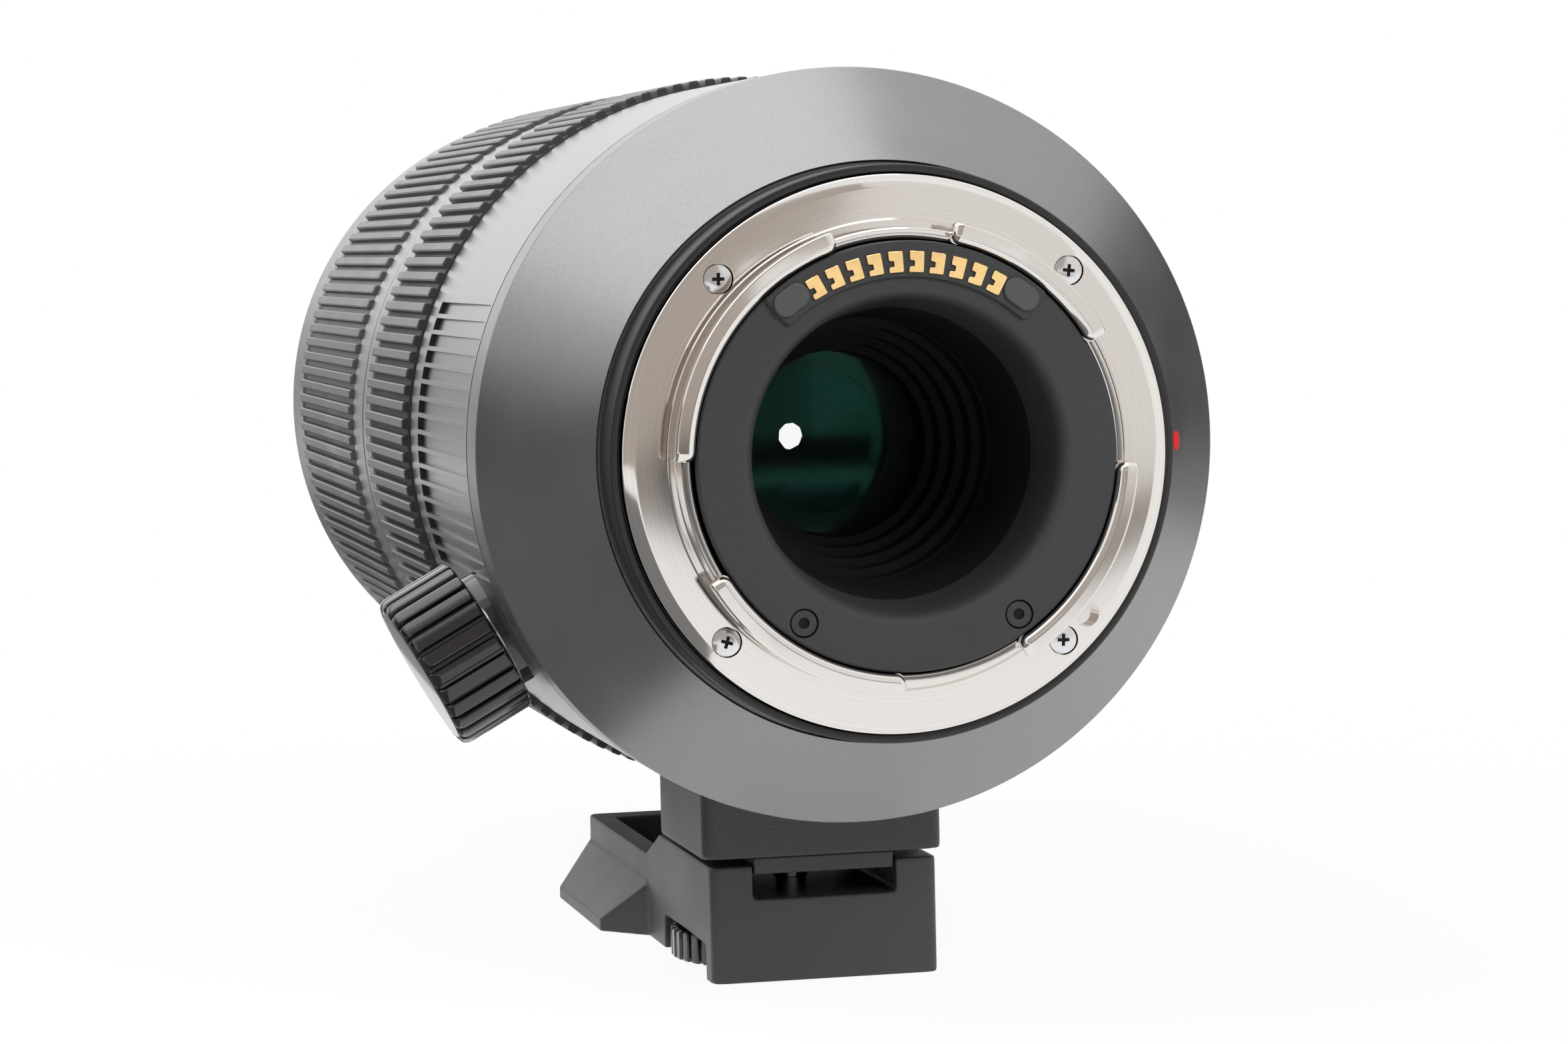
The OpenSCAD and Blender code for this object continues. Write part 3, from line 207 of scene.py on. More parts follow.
def soft_box(name, place, size, power):
    """A broad lamp that lights surfaces and leaves no spot in reflections."""
    lamp = bpy.data.objects.new(name, bpy.data.lights.new(name, "AREA"))
    bpy.context.scene.collection.objects.link(lamp)
    lamp.data.shape = "RECTANGLE"
    lamp.data.size, lamp.data.size_y = size
    lamp.data.energy = power
    lamp.visible_glossy = False
    aim(lamp, place)


def reflection_card(name, place, size, tint, level=1.0, target=LENS_MIDDLE):
    """A card of one tone that only reflections show."""
    bpy.ops.mesh.primitive_plane_add(size=1)
    card = bpy.context.object
    card.name = name
    aim(card, place, target)
    card.scale = (*size, 1)
    cloth = bpy.data.materials.new(name)
    tree = emptied_tree(cloth)
    dull = add(tree, "ShaderNodeEmission", {"Color": (*tint, 1), "Strength": level})
    add(tree, "ShaderNodeOutputMaterial", {"Surface": dull.outputs[0]})
    card.data.materials.append(cloth)
    card.visible_camera = card.visible_diffuse = card.visible_shadow = card.visible_transmission = False


def hanging_card(name, y, x_range, z_range, tint, level=1.0):
    """An upright card square to the optical axis, given by its limits."""
    place = Vector((sum(x_range) / 2, y, sum(z_range) / 2))
    size = (x_range[1] - x_range[0], z_range[1] - z_range[0])
    reflection_card(name, place, size, tint, level, place + Vector((0, 1, 0)))


def lying_card(name, z, x_range, y_range, tint, level=1.0):
    """A level card, given by its limits."""
    place = Vector((sum(x_range) / 2, sum(y_range) / 2, z))
    size = (x_range[1] - x_range[0], y_range[1] - y_range[0])
    reflection_card(name, place, size, tint, level, place - Vector((0, 0, 1)))


print("lamp and card helpers ready")

# %% [markdown]
# Bright cards overhead and far in front light the cone, the collar and the rings, and dark ones beside the
# lens and on the table shade their sides. Behind the camera hang a warm and a pale cloth with dark bars
# along their foot. The cloths tone the bayonet and the rear glass, and the bars draw the dark patches on
# the flange and the band in the glass. Two small cards near the mount finish it: one keeps the glass dark
# below, and one lights the contacts.

# %% Place lamps and cards
WHITE, BLACK = (1, 1, 1), (0.02, 0.02, 0.021)
WARM_GREY, PALE_GREY, DUSK = (0.47, 0.425, 0.385), (0.83, 0.81, 0.79), (0.25, 0.22, 0.195)
CLOTH_SEAM_X = 0.128
BAR_Y, CLOTH_Y, NEAR_Y, FRONT_Y = -0.55, -0.56, -0.1, 1.2
TABLE_Z, CEILING_Z = -0.062, 0.9
soft_box("key_soft_box", (-0.55, 0.1, 0.75), (0.5, 0.5), 7)
soft_box("rear_soft_box", (0.35, -0.8, 0.6), (0.5, 0.4), 9)
lying_card("bright_card", CEILING_Z, (-1.4, 0.25), (-0.3, 1.0), WHITE, 2.2)
lying_card("left_table", TABLE_Z, (-0.965, -0.045), (-0.3, 0.6), WHITE, 0.22)
lying_card("right_table", TABLE_Z, (0.25, 0.95), (0.1, 0.9), WHITE, 0.3)
reflection_card("left_card", (-0.9, 0.2, -0.05), (1.0, 0.6), BLACK)
reflection_card("right_card", (0.8, 0.55, 0.1), (0.8, 0.6), BLACK, 2.0)
hanging_card("bar_left", BAR_Y, (0.02, 0.075), (-0.046, -0.027), DUSK)
hanging_card("bar_middle", BAR_Y, (0.075, 0.172), (-0.045, -0.023), BLACK)
hanging_card("bar_right", BAR_Y, (0.172, 0.24), (-0.0605, -0.041), DUSK)
hanging_card("warm_cloth", CLOTH_Y, (-0.7, CLOTH_SEAM_X), (-0.044, 0.7), WARM_GREY)
hanging_card("pale_cloth", CLOTH_Y, (CLOTH_SEAM_X, 0.9), (-0.044, 0.7), PALE_GREY)
hanging_card("front_cloth", FRONT_Y, (-0.9, 0.4), (-0.06, 0.09), WHITE, 0.5)
hanging_card("front_sky", FRONT_Y, (-0.5, 0.7), (0.12, 0.8), WHITE, 1.35)
hanging_card("glass_flag", NEAR_Y, (0.006, 0.04), (-0.0275, -0.0165), WHITE, 0.15)
hanging_card("contact_light", NEAR_Y, (0.004, 0.04), (0.0145, 0.0215), WHITE)
print("lamps and cards placed")

# %% [markdown]
# ## Finishes
# Nearly every part here is black, and what tells them apart is how they shine. Each finish is one
# Principled shader. Slow noise shifts its roughness and colour a little, as handling and machining do,
# and fine noise makes the grain as a bump. The scales are in grains per metre.

# %% Helpers for finishes
def new_material(name):
    """A material, its tree, its Principled shader and the place on the piece."""
    made = bpy.data.materials.new(name)
    made.use_nodes = True
    tree = made.node_tree
    place = add(tree, "ShaderNodeTexCoord").outputs["Object"]
    return made, tree, tree.nodes["Principled BSDF"], place


def noise(tree, place, scale, detail):
    """Noise through the body of a piece."""
    return add(tree, "ShaderNodeTexNoise", {"Vector": place, "Scale": scale, "Detail": detail}).outputs["Fac"]


def varied(tree, value, span, middle, share):
    """Turns a span of noise into a middle value and a share of it to either side."""
    return add(tree, "ShaderNodeMapRange", {"Value": value, "From Min": span[0], "From Max": span[1],
                                            "To Min": middle * (1 - share),
                                            "To Max": middle * (1 + share)}).outputs[0]


def dress(tree, shader, channels, rough, grain, depth):
    """Links a colour in three channels, a roughness and the bump of a grain to a shader."""
    tone = add(tree, "ShaderNodeCombineColor", dict(zip(("Red", "Green", "Blue"), channels))).outputs[0]
    bump = add(tree, "ShaderNodeBump", {"Height": grain, "Strength": 1, "Distance": depth * MM}).outputs[0]
    for socket, value in (("Base Color", tone), ("Roughness", rough), ("Normal", bump)):
        tree.links.new(value, shader.inputs[socket])


def set_values(shader, **values):
    """Sets sockets of a shader by their names, with an underscore for each space."""
    for socket, value in values.items():
        shader.inputs[socket.replace("_", " ")].default_value = value


print("finish helpers ready")

# %% [markdown]
# Now the list of finishes. The anodised barrel parts are dark metals, the cast foot has a coarse grain, and
# the moulded knob is glossy. Plastic, rubber and the inner parts are dull and hardly shine.

# %% Finishes of the parts
SLOW_SCALE, SLOW_SPAN, BOTH_SPAN = 55, (0.3, 0.7), (0.6, 1.4)


def finish(name, colour, roughness, metallic=0.0, grain=2600, depth=0.02, mottle=0.12, **values):
    """A surface with a fine grain, small changes of roughness and a faint mottling of its colour."""
    made, tree, shader, place = new_material(name)
    slow, fine = noise(tree, place, SLOW_SCALE, 4), noise(tree, place, grain, 3)
    both = add(tree, "ShaderNodeMath", {0: fine, 1: slow}, operation="ADD").outputs[0]
    channels = [varied(tree, both, BOTH_SPAN, c, mottle) for c in colour]
    dress(tree, shader, channels, varied(tree, slow, SLOW_SPAN, roughness, mottle), fine, depth)
    set_values(shader, Metallic=metallic, **values)
    return made


satin = finish("satin_anodised", (0.27, 0.27, 0.273), 0.36, metallic=0.9, grain=3200, depth=0.005)
# Painted light: the collar and the band get lighter copies of the cone's satin, which brighten them as more
# light would; the zoom ring's smooth strip shares the band's.
collar_satin_painted_light = finish("collar_anodised_painted_light", (0.31, 0.31, 0.314), 0.3, metallic=0.9, depth=0.0008, mottle=0.05)
band_satin_painted_light = finish("band_anodised_painted_light", (0.34, 0.34, 0.344), 0.34, metallic=0.9, depth=0.0008, mottle=0.05)
ring_satin = finish("ring_anodised", (0.15, 0.149, 0.148), 0.4, metallic=0.7, grain=3000, depth=0.008)
# Painted shade: the next two finishes darken the gaps between the grip rings' ribs and the focus ring's rear
# lip.
rib_gap_painted_shade = finish("rib_gap_painted_shade", (0.042, 0.042, 0.042), 0.6, depth=0.01, Specular_IOR_Level=0.3)
zoom_gap_painted_shade = finish("zoom_rib_gap_painted_shade", (0.15, 0.15, 0.15), 0.55, metallic=0.5, depth=0.01)
# Painted shade: this black stands in for the shade on the front walls of the collar's pockets and deep in the
# bayonet screws' crossed recesses.
painted_shade_black = finish("painted_shade_matt_black", (0.02, 0.02, 0.021), 0.65, depth=0.01, Specular_IOR_Level=0.25)
steel = finish("screw_steel", (0.78, 0.78, 0.79), 0.16, metallic=1, grain=1500, depth=0.002, mottle=0.08)
rubber = finish("seal_rubber", (0.01, 0.01, 0.011), 0.3, grain=1800, depth=0.008)
plastic = finish("black_plastic", (0.033, 0.033, 0.0345), 0.55, grain=2200, Specular_IOR_Level=0.35)
lug_grey = finish("lug_plastic", (0.05, 0.053, 0.055), 0.45, grain=1800, depth=0.01)
gold = finish("gold_plate", (1, 0.68, 0.3), 0.1, metallic=1, grain=1400, depth=0.003)
red = finish("red_enamel", (0.68, 0.012, 0.025), 0.3, grain=1500, depth=0.003)
# Black of the inner parts; also painted shade in the baffle's funnel and in the small screws' sockets.
inner_black_and_painted_shade = finish("inner_black_and_painted_shade", (0.01, 0.01, 0.0105), 0.7, depth=0.003, Specular_IOR_Level=0.2)
cam_metal = finish("cam_metal", (0.5, 0.5, 0.51), 0.35, metallic=1, grain=2000, depth=0.004)
board_green = finish("board_green", (0.02, 0.16, 0.07), 0.35, grain=600, depth=0.01)
foot_black = finish("foot_black", (0.038, 0.0385, 0.0394), 0.4, grain=2400, depth=0.06,
                    Specular_IOR_Level=0.5)
knob_black = finish("knob_black", (0.008, 0.008, 0.009), 0.13, grain=1500, depth=0.003, Coat_Weight=0.6)
brass = finish("follower_brass", (0.72, 0.55, 0.26), 0.3, metallic=1, grain=1500, depth=0.004)
blade_black = finish("blade_black", (0.008, 0.008, 0.009), 0.6, grain=1800, depth=0.004,
                     Specular_IOR_Level=0.2)
print("finishes made")

# %% [markdown]
# The bayonet is turned on a lathe and plated. The tool leaves very fine rings, so the noise here runs on
# the distance from the axis alone. Such rings also stretch each reflection outwards from the axis, and
# the anisotropic setting does the same: that is why a turned face shows bright and dark fans.

# %% Turned chrome
CLOUD_SCALE, CLOUD_SHIFT, LINE_SHIFT = 140, 0.1, 0.03
FAN_STRENGTH, FAN_TURN = 0.35, 0.25


def turned_metal(name, colour, roughness, rings, depth):
    """Bright metal with fine rings round the optical axis."""
    made, tree, shader, place = new_material(name)
    flat = add(tree, "ShaderNodeVectorMath", {0: place, 1: (1, 0, 1)}, operation="MULTIPLY").outputs[0]
    radius = add(tree, "ShaderNodeVectorMath", {0: flat}, operation="LENGTH").outputs["Value"]
    lines = add(tree, "ShaderNodeTexNoise", {"W": radius, "Scale": rings, "Detail": 4},
                noise_dimensions="1D").outputs["Fac"]
    channels = [varied(tree, lines, SLOW_SPAN, c, LINE_SHIFT) for c in colour]
    rough = varied(tree, noise(tree, place, CLOUD_SCALE, 3), SLOW_SPAN, roughness, CLOUD_SHIFT)
    dress(tree, shader, channels, rough, lines, depth)
    tangent = add(tree, "ShaderNodeTangent", direction_type="RADIAL", axis="Y").outputs[0]
    tree.links.new(tangent, shader.inputs["Tangent"])
    set_values(shader, Metallic=1, Anisotropic=FAN_STRENGTH, Anisotropic_Rotation=FAN_TURN)
    return made


chrome = turned_metal("chrome_plate", (0.8, 0.765, 0.735), 0.09, 3000, 0.0003)
print("turned chrome made")

# %% [markdown]
# Coated glass lets nearly all light through and mirrors a little of it in green, because its thin layers
# cancel the other colours. A mix shows that: a clear part, and a small share of a green mirror. Only the
# face that looks towards the light path's start mirrors, so that a lens does not grow milky. The two big
# front lenses bend the light as real glass does, and their mirror is dimmed by its tint.

# %% Coated glass
CLEAR = (1, 1, 1, 1)
COAT_SCALE, COAT_DIM = 60, 0.8
RIM_BLEND, RIM_FROM = 0.2, 0.5
WIPE_SCALE, WIPE_ROUGH, GLASS_IOR = 30, 0.02, 1.5


def coated_glass(name, mirror, share, rim, haze):
    """Clear glass with a faint coloured mirror that grows towards the rim."""
    made, tree, shader, place = new_material(name)
    set_values(shader, Roughness=haze, Metallic=1)
    tone = add(tree, "ShaderNodeMix", {0: noise(tree, place, COAT_SCALE, 2)}, data_type="RGBA")
    tone.inputs[6].default_value = (*mirror, 1)
    tone.inputs[7].default_value = (*[c * COAT_DIM for c in mirror], 1)
    tree.links.new(tone.outputs[2], shader.inputs["Base Color"])
    clear = add(tree, "ShaderNodeBsdfTransparent", {"Color": CLEAR})
    edge = add(tree, "ShaderNodeLayerWeight", {"Blend": RIM_BLEND}).outputs["Facing"]
    strength = add(tree, "ShaderNodeMapRange", {"Value": edge, "From Min": RIM_FROM, "From Max": 1,
                                                "To Min": share, "To Max": rim}).outputs[0]
    inside = add(tree, "ShaderNodeNewGeometry").outputs["Backfacing"]
    outside = add(tree, "ShaderNodeMath", {0: 1.0, 1: inside}, operation="SUBTRACT").outputs[0]
    part = add(tree, "ShaderNodeMath", {0: strength, 1: outside}, operation="MULTIPLY").outputs[0]
    mix = add(tree, "ShaderNodeMixShader", {0: part, 1: clear.outputs[0], 2: shader.outputs[0]})
    tree.links.new(mix.outputs[0], tree.nodes["Material Output"].inputs["Surface"])
    return made


def clear_glass(name, coat):
    """Refracting glass for the big front lenses, with a dim coloured mirror and faint streaks of wiping."""
    made, tree, shader, place = new_material(name)
    wipe = noise(tree, place, WIPE_SCALE, 3)
    rough = add(tree, "ShaderNodeMapRange", {"Value": wipe, "To Min": 0.0, "To Max": WIPE_ROUGH}).outputs[0]
    tree.links.new(rough, shader.inputs["Roughness"])
    set_values(shader, Base_Color=CLEAR, Transmission_Weight=1, IOR=GLASS_IOR, Specular_Tint=(*coat, 1))
    return made


rear_glass = coated_glass("rear_glass", (0.17, 0.82, 0.6), 0.034, 0.12, 0.06)
inner_glass = coated_glass("inner_glass", (0.1, 0.6, 0.62), 0.012, 0.1, 0.02)
front_glass = clear_glass("front_glass", (0.1, 0.2, 0.16))
print("glass made")

# %% [markdown]
# ## Shapes and pieces
# Nearly every shape here is a row of cross-sections with a skin over them. With two flat ends it is a bar,
# as tabs, ribs, plates and cutters are. Without ends it closes into a ring, as a turned part does. Several
# such shapes can be joined into one mesh.

# %% Helpers for bars
def to_mesh(shape):
    """Turns a bmesh into a mesh with its faces outwards."""
    bmesh.ops.recalc_face_normals(shape, faces=shape.faces)
    mesh = bpy.data.meshes.new("shape")
    shape.to_mesh(mesh)
    shape.free()
    return mesh


def bar(sections, closed=False):
    """A bar through cross-sections with the same number of points, with flat ends or closed into a ring."""
    shape = bmesh.new()
    rows = [[shape.verts.new(p) for p in section] for section in sections]
    for this, after in zip(rows, rows[1:] + (rows[:1] if closed else [])):
        for i in range(len(this)):
            j = (i + 1) % len(this)
            shape.faces.new((this[i], this[j], after[j], after[i]))
    if not closed:
        shape.faces.new(rows[0])
        shape.faces.new(rows[-1])
    return to_mesh(shape)


def joined(*meshes):
    """Several meshes as one."""
    shape = bmesh.new()
    for mesh in meshes:
        shape.from_mesh(mesh)
        bpy.data.meshes.remove(mesh)
    mesh = bpy.data.meshes.new("joined")
    shape.to_mesh(mesh)
    shape.free()
    return mesh


print("bar helpers ready")

# %% [markdown]
# Most parts of a lens are turned, so the chief tool here is a lathe: an outline of radii and places along
# the axis, with rounded corners, is spun once round.

# %% Helpers for turning
MOST_OF_A_SIDE = 0.45


def at(radius, angle, y):
    """Point at a radius and an angle round the optical axis, anticlockwise as seen from behind."""
    a = math.radians(angle)
    return Vector((radius * math.cos(a), y, radius * math.sin(a))) * MM


def rounded(outline, ease, steps=3):
    """A closed outline with each corner rounded by about the given length."""
    points = [Vector(p) for p in outline]
    out = []
    for i, corner in enumerate(points):
        before, after = points[i - 1] - corner, points[(i + 1) % len(points)] - corner
        start = corner + before.normalized() * min(ease, before.length * MOST_OF_A_SIDE)
        end = corner + after.normalized() * min(ease, after.length * MOST_OF_A_SIDE)
        for k in range(steps + 1):
            t = k / steps
            out.append(start * (1 - t) ** 2 + corner * 2 * t * (1 - t) + end * t ** 2)
    return [tuple(p) for p in out]


def turned(outline, ease=0.0, count=240):
    """A body of revolution from a closed outline of radii and places along the axis."""
    if ease:
        outline = rounded(outline, ease)
    return bar([[at(r, 360 * k / count, y) for r, y in outline] for k in range(count)], closed=True)


def turned_solid(outline, count=40):
    """A body of revolution from an open outline that starts and ends on the axis."""
    shape = bmesh.new()
    poles = [shape.verts.new(at(0, 0, outline[k][1])) for k in (0, -1)]
    rows = [[shape.verts.new(at(r, 360 * k / count, y)) for k in range(count)] for r, y in outline[1:-1]]
    for k in range(count):
        j = (k + 1) % count
        shape.faces.new((poles[0], rows[0][k], rows[0][j]))
        shape.faces.new((poles[1], rows[-1][j], rows[-1][k]))
        for this, after in zip(rows, rows[1:]):
            shape.faces.new((this[k], this[j], after[j], after[k]))
    return to_mesh(shape)


print("lathe helpers ready")

# %% [markdown]
# A shape becomes a piece of the lens once it has its finishes, rides on a body and stands for a solid. Its
# modifiers are turned into plain geometry first, so that the piece looks the same wherever it is opened.
# Weighted normals keep broad faces flat beside small roundings.

# %% Helpers for pieces
def evaluated_mesh(obj):
    """The mesh that an object's modifiers give; the object itself goes."""
    graph = bpy.context.evaluated_depsgraph_get()
    graph.update()
    mesh = bpy.data.meshes.new_from_object(obj.evaluated_get(graph))
    old = obj.data
    bpy.data.objects.remove(obj)
    bpy.data.meshes.remove(old)
    return mesh


def placed(name, mesh):
    """Puts a mesh into the scene as an object."""
    obj = bpy.data.objects.new(name, mesh)
    bpy.context.scene.collection.objects.link(obj)
    return obj


def make_piece(node, mesh, materials, name=None, rule=None, sharp=32):
    """A finished piece that stands for a solid and rides on its body. The rule picks a face's material by
    the face's middle and direction."""
    name = name or node + "_finished"
    mesh.materials.clear()
    for material in materials:
        mesh.materials.append(material)
    for face in mesh.polygons:
        face.material_index = int(rule(face.center / MM, face.normal)) if rule else 0
    mesh.polygons.foreach_set("use_smooth", [True] * len(mesh.polygons))
    mesh.set_sharp_from_angle(angle=math.radians(sharp))
    obj = placed(name + "_blank", mesh)
    even = obj.modifiers.new("even_normals", "WEIGHTED_NORMAL")
    even.keep_sharp = True
    obj = placed(name, evaluated_mesh(obj))
    body = frame["nodes"][node]["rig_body"]
    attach(obj, body)
    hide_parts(node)
    return obj


print("piece helpers ready")

# %% [markdown]
# Other parts start from a copy of their solid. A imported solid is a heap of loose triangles, so the corners
# of its copy are merged before anything can smooth or bevel it.

# %% Helper for copies of solids
MERGE = 0.002


def merged_copy(node, flat_angle=0.0):
    """A copy of a solid's mesh with its corners merged, and its flat neighbours too where asked."""
    mesh = frame["nodes"][node].data.copy()
    shape = bmesh.new()
    shape.from_mesh(mesh)
    bmesh.ops.remove_doubles(shape, verts=shape.verts, dist=MERGE * MM)
    if flat_angle:
        bmesh.ops.dissolve_limit(shape, angle_limit=math.radians(flat_angle), verts=shape.verts,
                                 edges=shape.edges)
    shape.to_mesh(mesh)
    shape.free()
    return mesh


print("helper for copies ready")

# %% [markdown]
# ## Trees for what repeats
# Ribs, flutes, contacts and screws repeat, so Geometry Nodes place them. The first tree turns copies of a
# shape round an axis. The second sets a fastener on each point of a mesh and gives it a turn of its own,
# as no two screws stop at the same angle. Both end with real geometry and a material.

# %% Geometry Nodes trees
def new_tree(name, inputs):
    """A tree with named inputs, an axis and a material, and the outputs of its input node."""
    tree = bpy.data.node_groups.new(name, "GeometryNodeTree")
    sockets = {"Geometry": "NodeSocketGeometry", **inputs, "Axis": "NodeSocketVector",
               "Material": "NodeSocketMaterial"}
    for label, kind in sockets.items():
        tree.interface.new_socket(label, in_out="INPUT", socket_type=kind)
    tree.interface.new_socket("Geometry", in_out="OUTPUT", socket_type="NodeSocketGeometry")
    return tree, add(tree, "NodeGroupInput").outputs


def finish_tree(tree, given, points, shape, angle):
    """Ends a tree with a shape on each point, turned by an angle, as real geometry with a material."""
    facing = add(tree, "FunctionNodeAxisAngleToRotation", {"Axis": given["Axis"], "Angle": angle})
    copies = add(tree, "GeometryNodeInstanceOnPoints", {"Points": points, "Instance": shape,
                                                        "Rotation": facing.outputs[0]})
    real = add(tree, "GeometryNodeRealizeInstances", {"Geometry": copies.outputs[0]})
    dressed = add(tree, "GeometryNodeSetMaterial", {"Geometry": real.outputs[0],
                                                    "Material": given["Material"]})
    add(tree, "NodeGroupOutput", {"Geometry": dressed.outputs[0]})


round_tree, given = new_tree("copies_round_an_axis", {"Count": "NodeSocketInt", "Step": "NodeSocketFloat"})
spots = add(round_tree, "GeometryNodeMeshLine", {"Count": given["Count"], "Offset": (0, 0, 0)})
order = add(round_tree, "GeometryNodeInputIndex").outputs[0]
turn = add(round_tree, "ShaderNodeMath", {0: order, 1: given["Step"]}, operation="MULTIPLY").outputs[0]
finish_tree(round_tree, given, spots.outputs[0], given["Geometry"], turn)

point_tree, given = new_tree("fasteners_on_points", {"Fastener": "NodeSocketObject", "Seed": "NodeSocketInt"})
part = add(point_tree, "GeometryNodeObjectInfo", {"Object": given["Fastener"], "As Instance": True})
chance = add(point_tree, "FunctionNodeRandomValue", {"Seed": given["Seed"]}, data_type="FLOAT")
chance.inputs[2].default_value, chance.inputs[3].default_value = 0, math.tau
finish_tree(point_tree, given, given["Geometry"], part.outputs["Geometry"], chance.outputs[1])
print("trees built:", round_tree.name, "and", point_tree.name)

# %% [markdown]
# A modifier runs such a tree on a mesh. Its inputs are set by the sockets' identifiers before it is first
# evaluated, and the result is taken off as a plain mesh.

# %% Helpers that run the trees
AXIS_TURN = Vector((0, -1, 0))


def grown(mesh, tree, **values):
    """The mesh that a tree makes from another mesh, with its inputs set by the sockets' identifiers."""
    obj = placed("grown", mesh)
    modifier = obj.modifiers.new("tree", "NODES")
    modifier.node_group = tree
    names = {item.name: item.identifier for item in tree.interface.items_tree if item.in_out == "INPUT"}
    for key, value in values.items():
        modifier[names[key]] = value
    return evaluated_mesh(obj)


def round_copies(mesh, count, step, material):
    """Copies of a mesh turned round the optical axis, a step in degrees apart."""
    return grown(mesh, round_tree, Count=count, Step=math.radians(step), Axis=AXIS_TURN, Material=material)


def fasteners(points, fastener, material, seed):
    """A fastener, drawn at the origin along Y, on each of the points."""
    dots = bpy.data.meshes.new("points")
    dots.from_pydata([tuple(p) for p in points], [], [])
    one = placed("fastener", fastener)
    mesh = grown(dots, point_tree, Fastener=one, Seed=seed, Axis=(0, 1, 0), Material=material)
    bpy.data.objects.remove(one)
    return mesh


print("tree helpers ready")

# %% [markdown]
# ## Plain solids
# Most inner parts are well described by their solids and only need a finish. They are listed by finish
# here, and the parts that the photo shows closely follow with pieces of their own.

# %% Finish the plain solids
PLAIN = {
    "inner_metal": (inner_black_and_painted_shade, ["main_tube", "focus_sleeve", "inner_barrel", "rear_cell", "iris_base",
                                  "iris_cover", "iris_ring", "focus_cell", "variator_cell", "rod_ring",
                                  "front_retainer", "front_barrel", "focus_motor"]),
    "cam_metal": (cam_metal, ["zoom_cam_tube", "guide_rods", "focus_lead_screw"]),
    "steel_screws": (steel, ["neck_screws", "stop_screws", "clamp_screw", "lock_screw", "thread_insert_small",
                             "thread_insert_large"]),
    "circuit_green": (board_green, ["circuit_board"]),
    "follower_brass": (brass, ["cam_followers"]),
    "blade_steel": (blade_black, [f"iris_blade_{k}" for k in range(1, 10)]),
    "red_dot": (red, ["index_dot"]),
    "knob_black": (knob_black, ["clamp_bush"]),
}
for slot, (material, names) in PLAIN.items():
    for node in names:
        obj = frame["nodes"][node]
        obj.data.materials.clear()
        obj.data.materials.append(material)
print("plain solids finished:", sum(len(names) for material, names in PLAIN.values()))

# %% [markdown]
# ## Lenses
# A lens is ground and polished, so none of its faces may look flat. The three small lenses are smooth
# copies of their solids. The two big front ones bend the light, which would show the least unevenness, so
# they are turned anew: a dome in front on the first, and a hollow behind on the second.

# %% Lenses
GLASS = {"rear_element": rear_glass, "focus_element": inner_glass, "variator_element": inner_glass}
FRONT_DOME_R, SECOND_HOLLOW_R, SECOND_HOLLOW_DEPTH = 130, 95, 5
LENS_SIDES = 160


def lens_limits(node):
    """Radius and ends of a lens, from its solid's box."""
    corners = [Vector(c) / MM for c in frame["nodes"][node].bound_box]
    return max(c.x for c in corners), min(c.y for c in corners), max(c.y for c in corners)


def ground(node, outline):
    """A big lens turned anew with true curves, which stands for its solid."""
    make_piece(node, turned_solid(outline, LENS_SIDES), [front_glass])


def curve(r_from, r_to, ball_r, y_top, steps=30):
    """Part of a ball's outline, with the ball's foremost point on the axis."""
    radii = [r_from + (r_to - r_from) * k / steps for k in range(steps + 1)]
    return [(r, y_top - ball_r + math.sqrt(ball_r ** 2 - r ** 2)) for r in radii]


for node, material in GLASS.items():
    make_piece(node, merged_copy(node), [material])
edge_r, back, top = lens_limits("front_element")
ground("front_element", [(0, back), (edge_r, back)] + curve(edge_r, 0, FRONT_DOME_R, top))
edge_r, back, top = lens_limits("second_element")
hollow_y = back + SECOND_HOLLOW_DEPTH
hollow_edge = math.sqrt(SECOND_HOLLOW_R ** 2 - (SECOND_HOLLOW_R - SECOND_HOLLOW_DEPTH) ** 2)
hollow = curve(0, hollow_edge, SECOND_HOLLOW_R, hollow_y)
ground("second_element", hollow + [(edge_r, back), (edge_r, top), (0, top)])
print("small lenses:", len(GLASS), "and two big ones, the second with radius", round(edge_r, 1), "mm")

# %% [markdown]
# ## The bayonet
# A camera mount is one turned ring: a flange, a short tube, and tabs that stand outwards from the tube's
# end. The ring is spun with the low wall that shows between the tabs.

# %% Bayonet ring
THROAT_R, TUBE_R, FLANGE_R = 23.5, 24.7, 30.5
GAP_H, GAP_LIP, FLANGE_T = 2.9, 0.4, 2.4
ROOT_W, ROOT_DEPTH = 0.95, 0.3
BEVEL_W, BEVEL_T = 1.3, 0.6
BREAK, FINE_BREAK = 0.15, 0.1


def quarter(steps):
    """Sine and cosine along a quarter turn."""
    return [(math.sin(f), math.cos(f)) for f in (math.pi / 2 * k / steps for k in range(steps + 1))]


lip = [(THROAT_R + GAP_LIP * (1 - c), GAP_LIP * (1 - s) - GAP_H) for s, c in quarter(5)]
ring = turned([(THROAT_R, FLANGE_T), (THROAT_R, -0.5)] + lip
              + [(TUBE_R - BREAK, -GAP_H), (TUBE_R, BREAK - GAP_H), (TUBE_R, FINE_BREAK),
                 (TUBE_R + FINE_BREAK, ROOT_DEPTH), (TUBE_R + ROOT_W - BREAK, ROOT_DEPTH),
                 (TUBE_R + ROOT_W, ROOT_DEPTH - 0.12), (TUBE_R + ROOT_W, 0.08),
                 (TUBE_R + ROOT_W + FINE_BREAK, 0), (FLANGE_R - BEVEL_W - BREAK, 0),
                 (FLANGE_R - BEVEL_W + FINE_BREAK, 0.05), (FLANGE_R - 0.12, BEVEL_T - 0.05),
                 (FLANGE_R, BEVEL_T + FINE_BREAK), (FLANGE_R, FLANGE_T)], count=360)
print("bayonet ring faces:", len(ring.polygons))

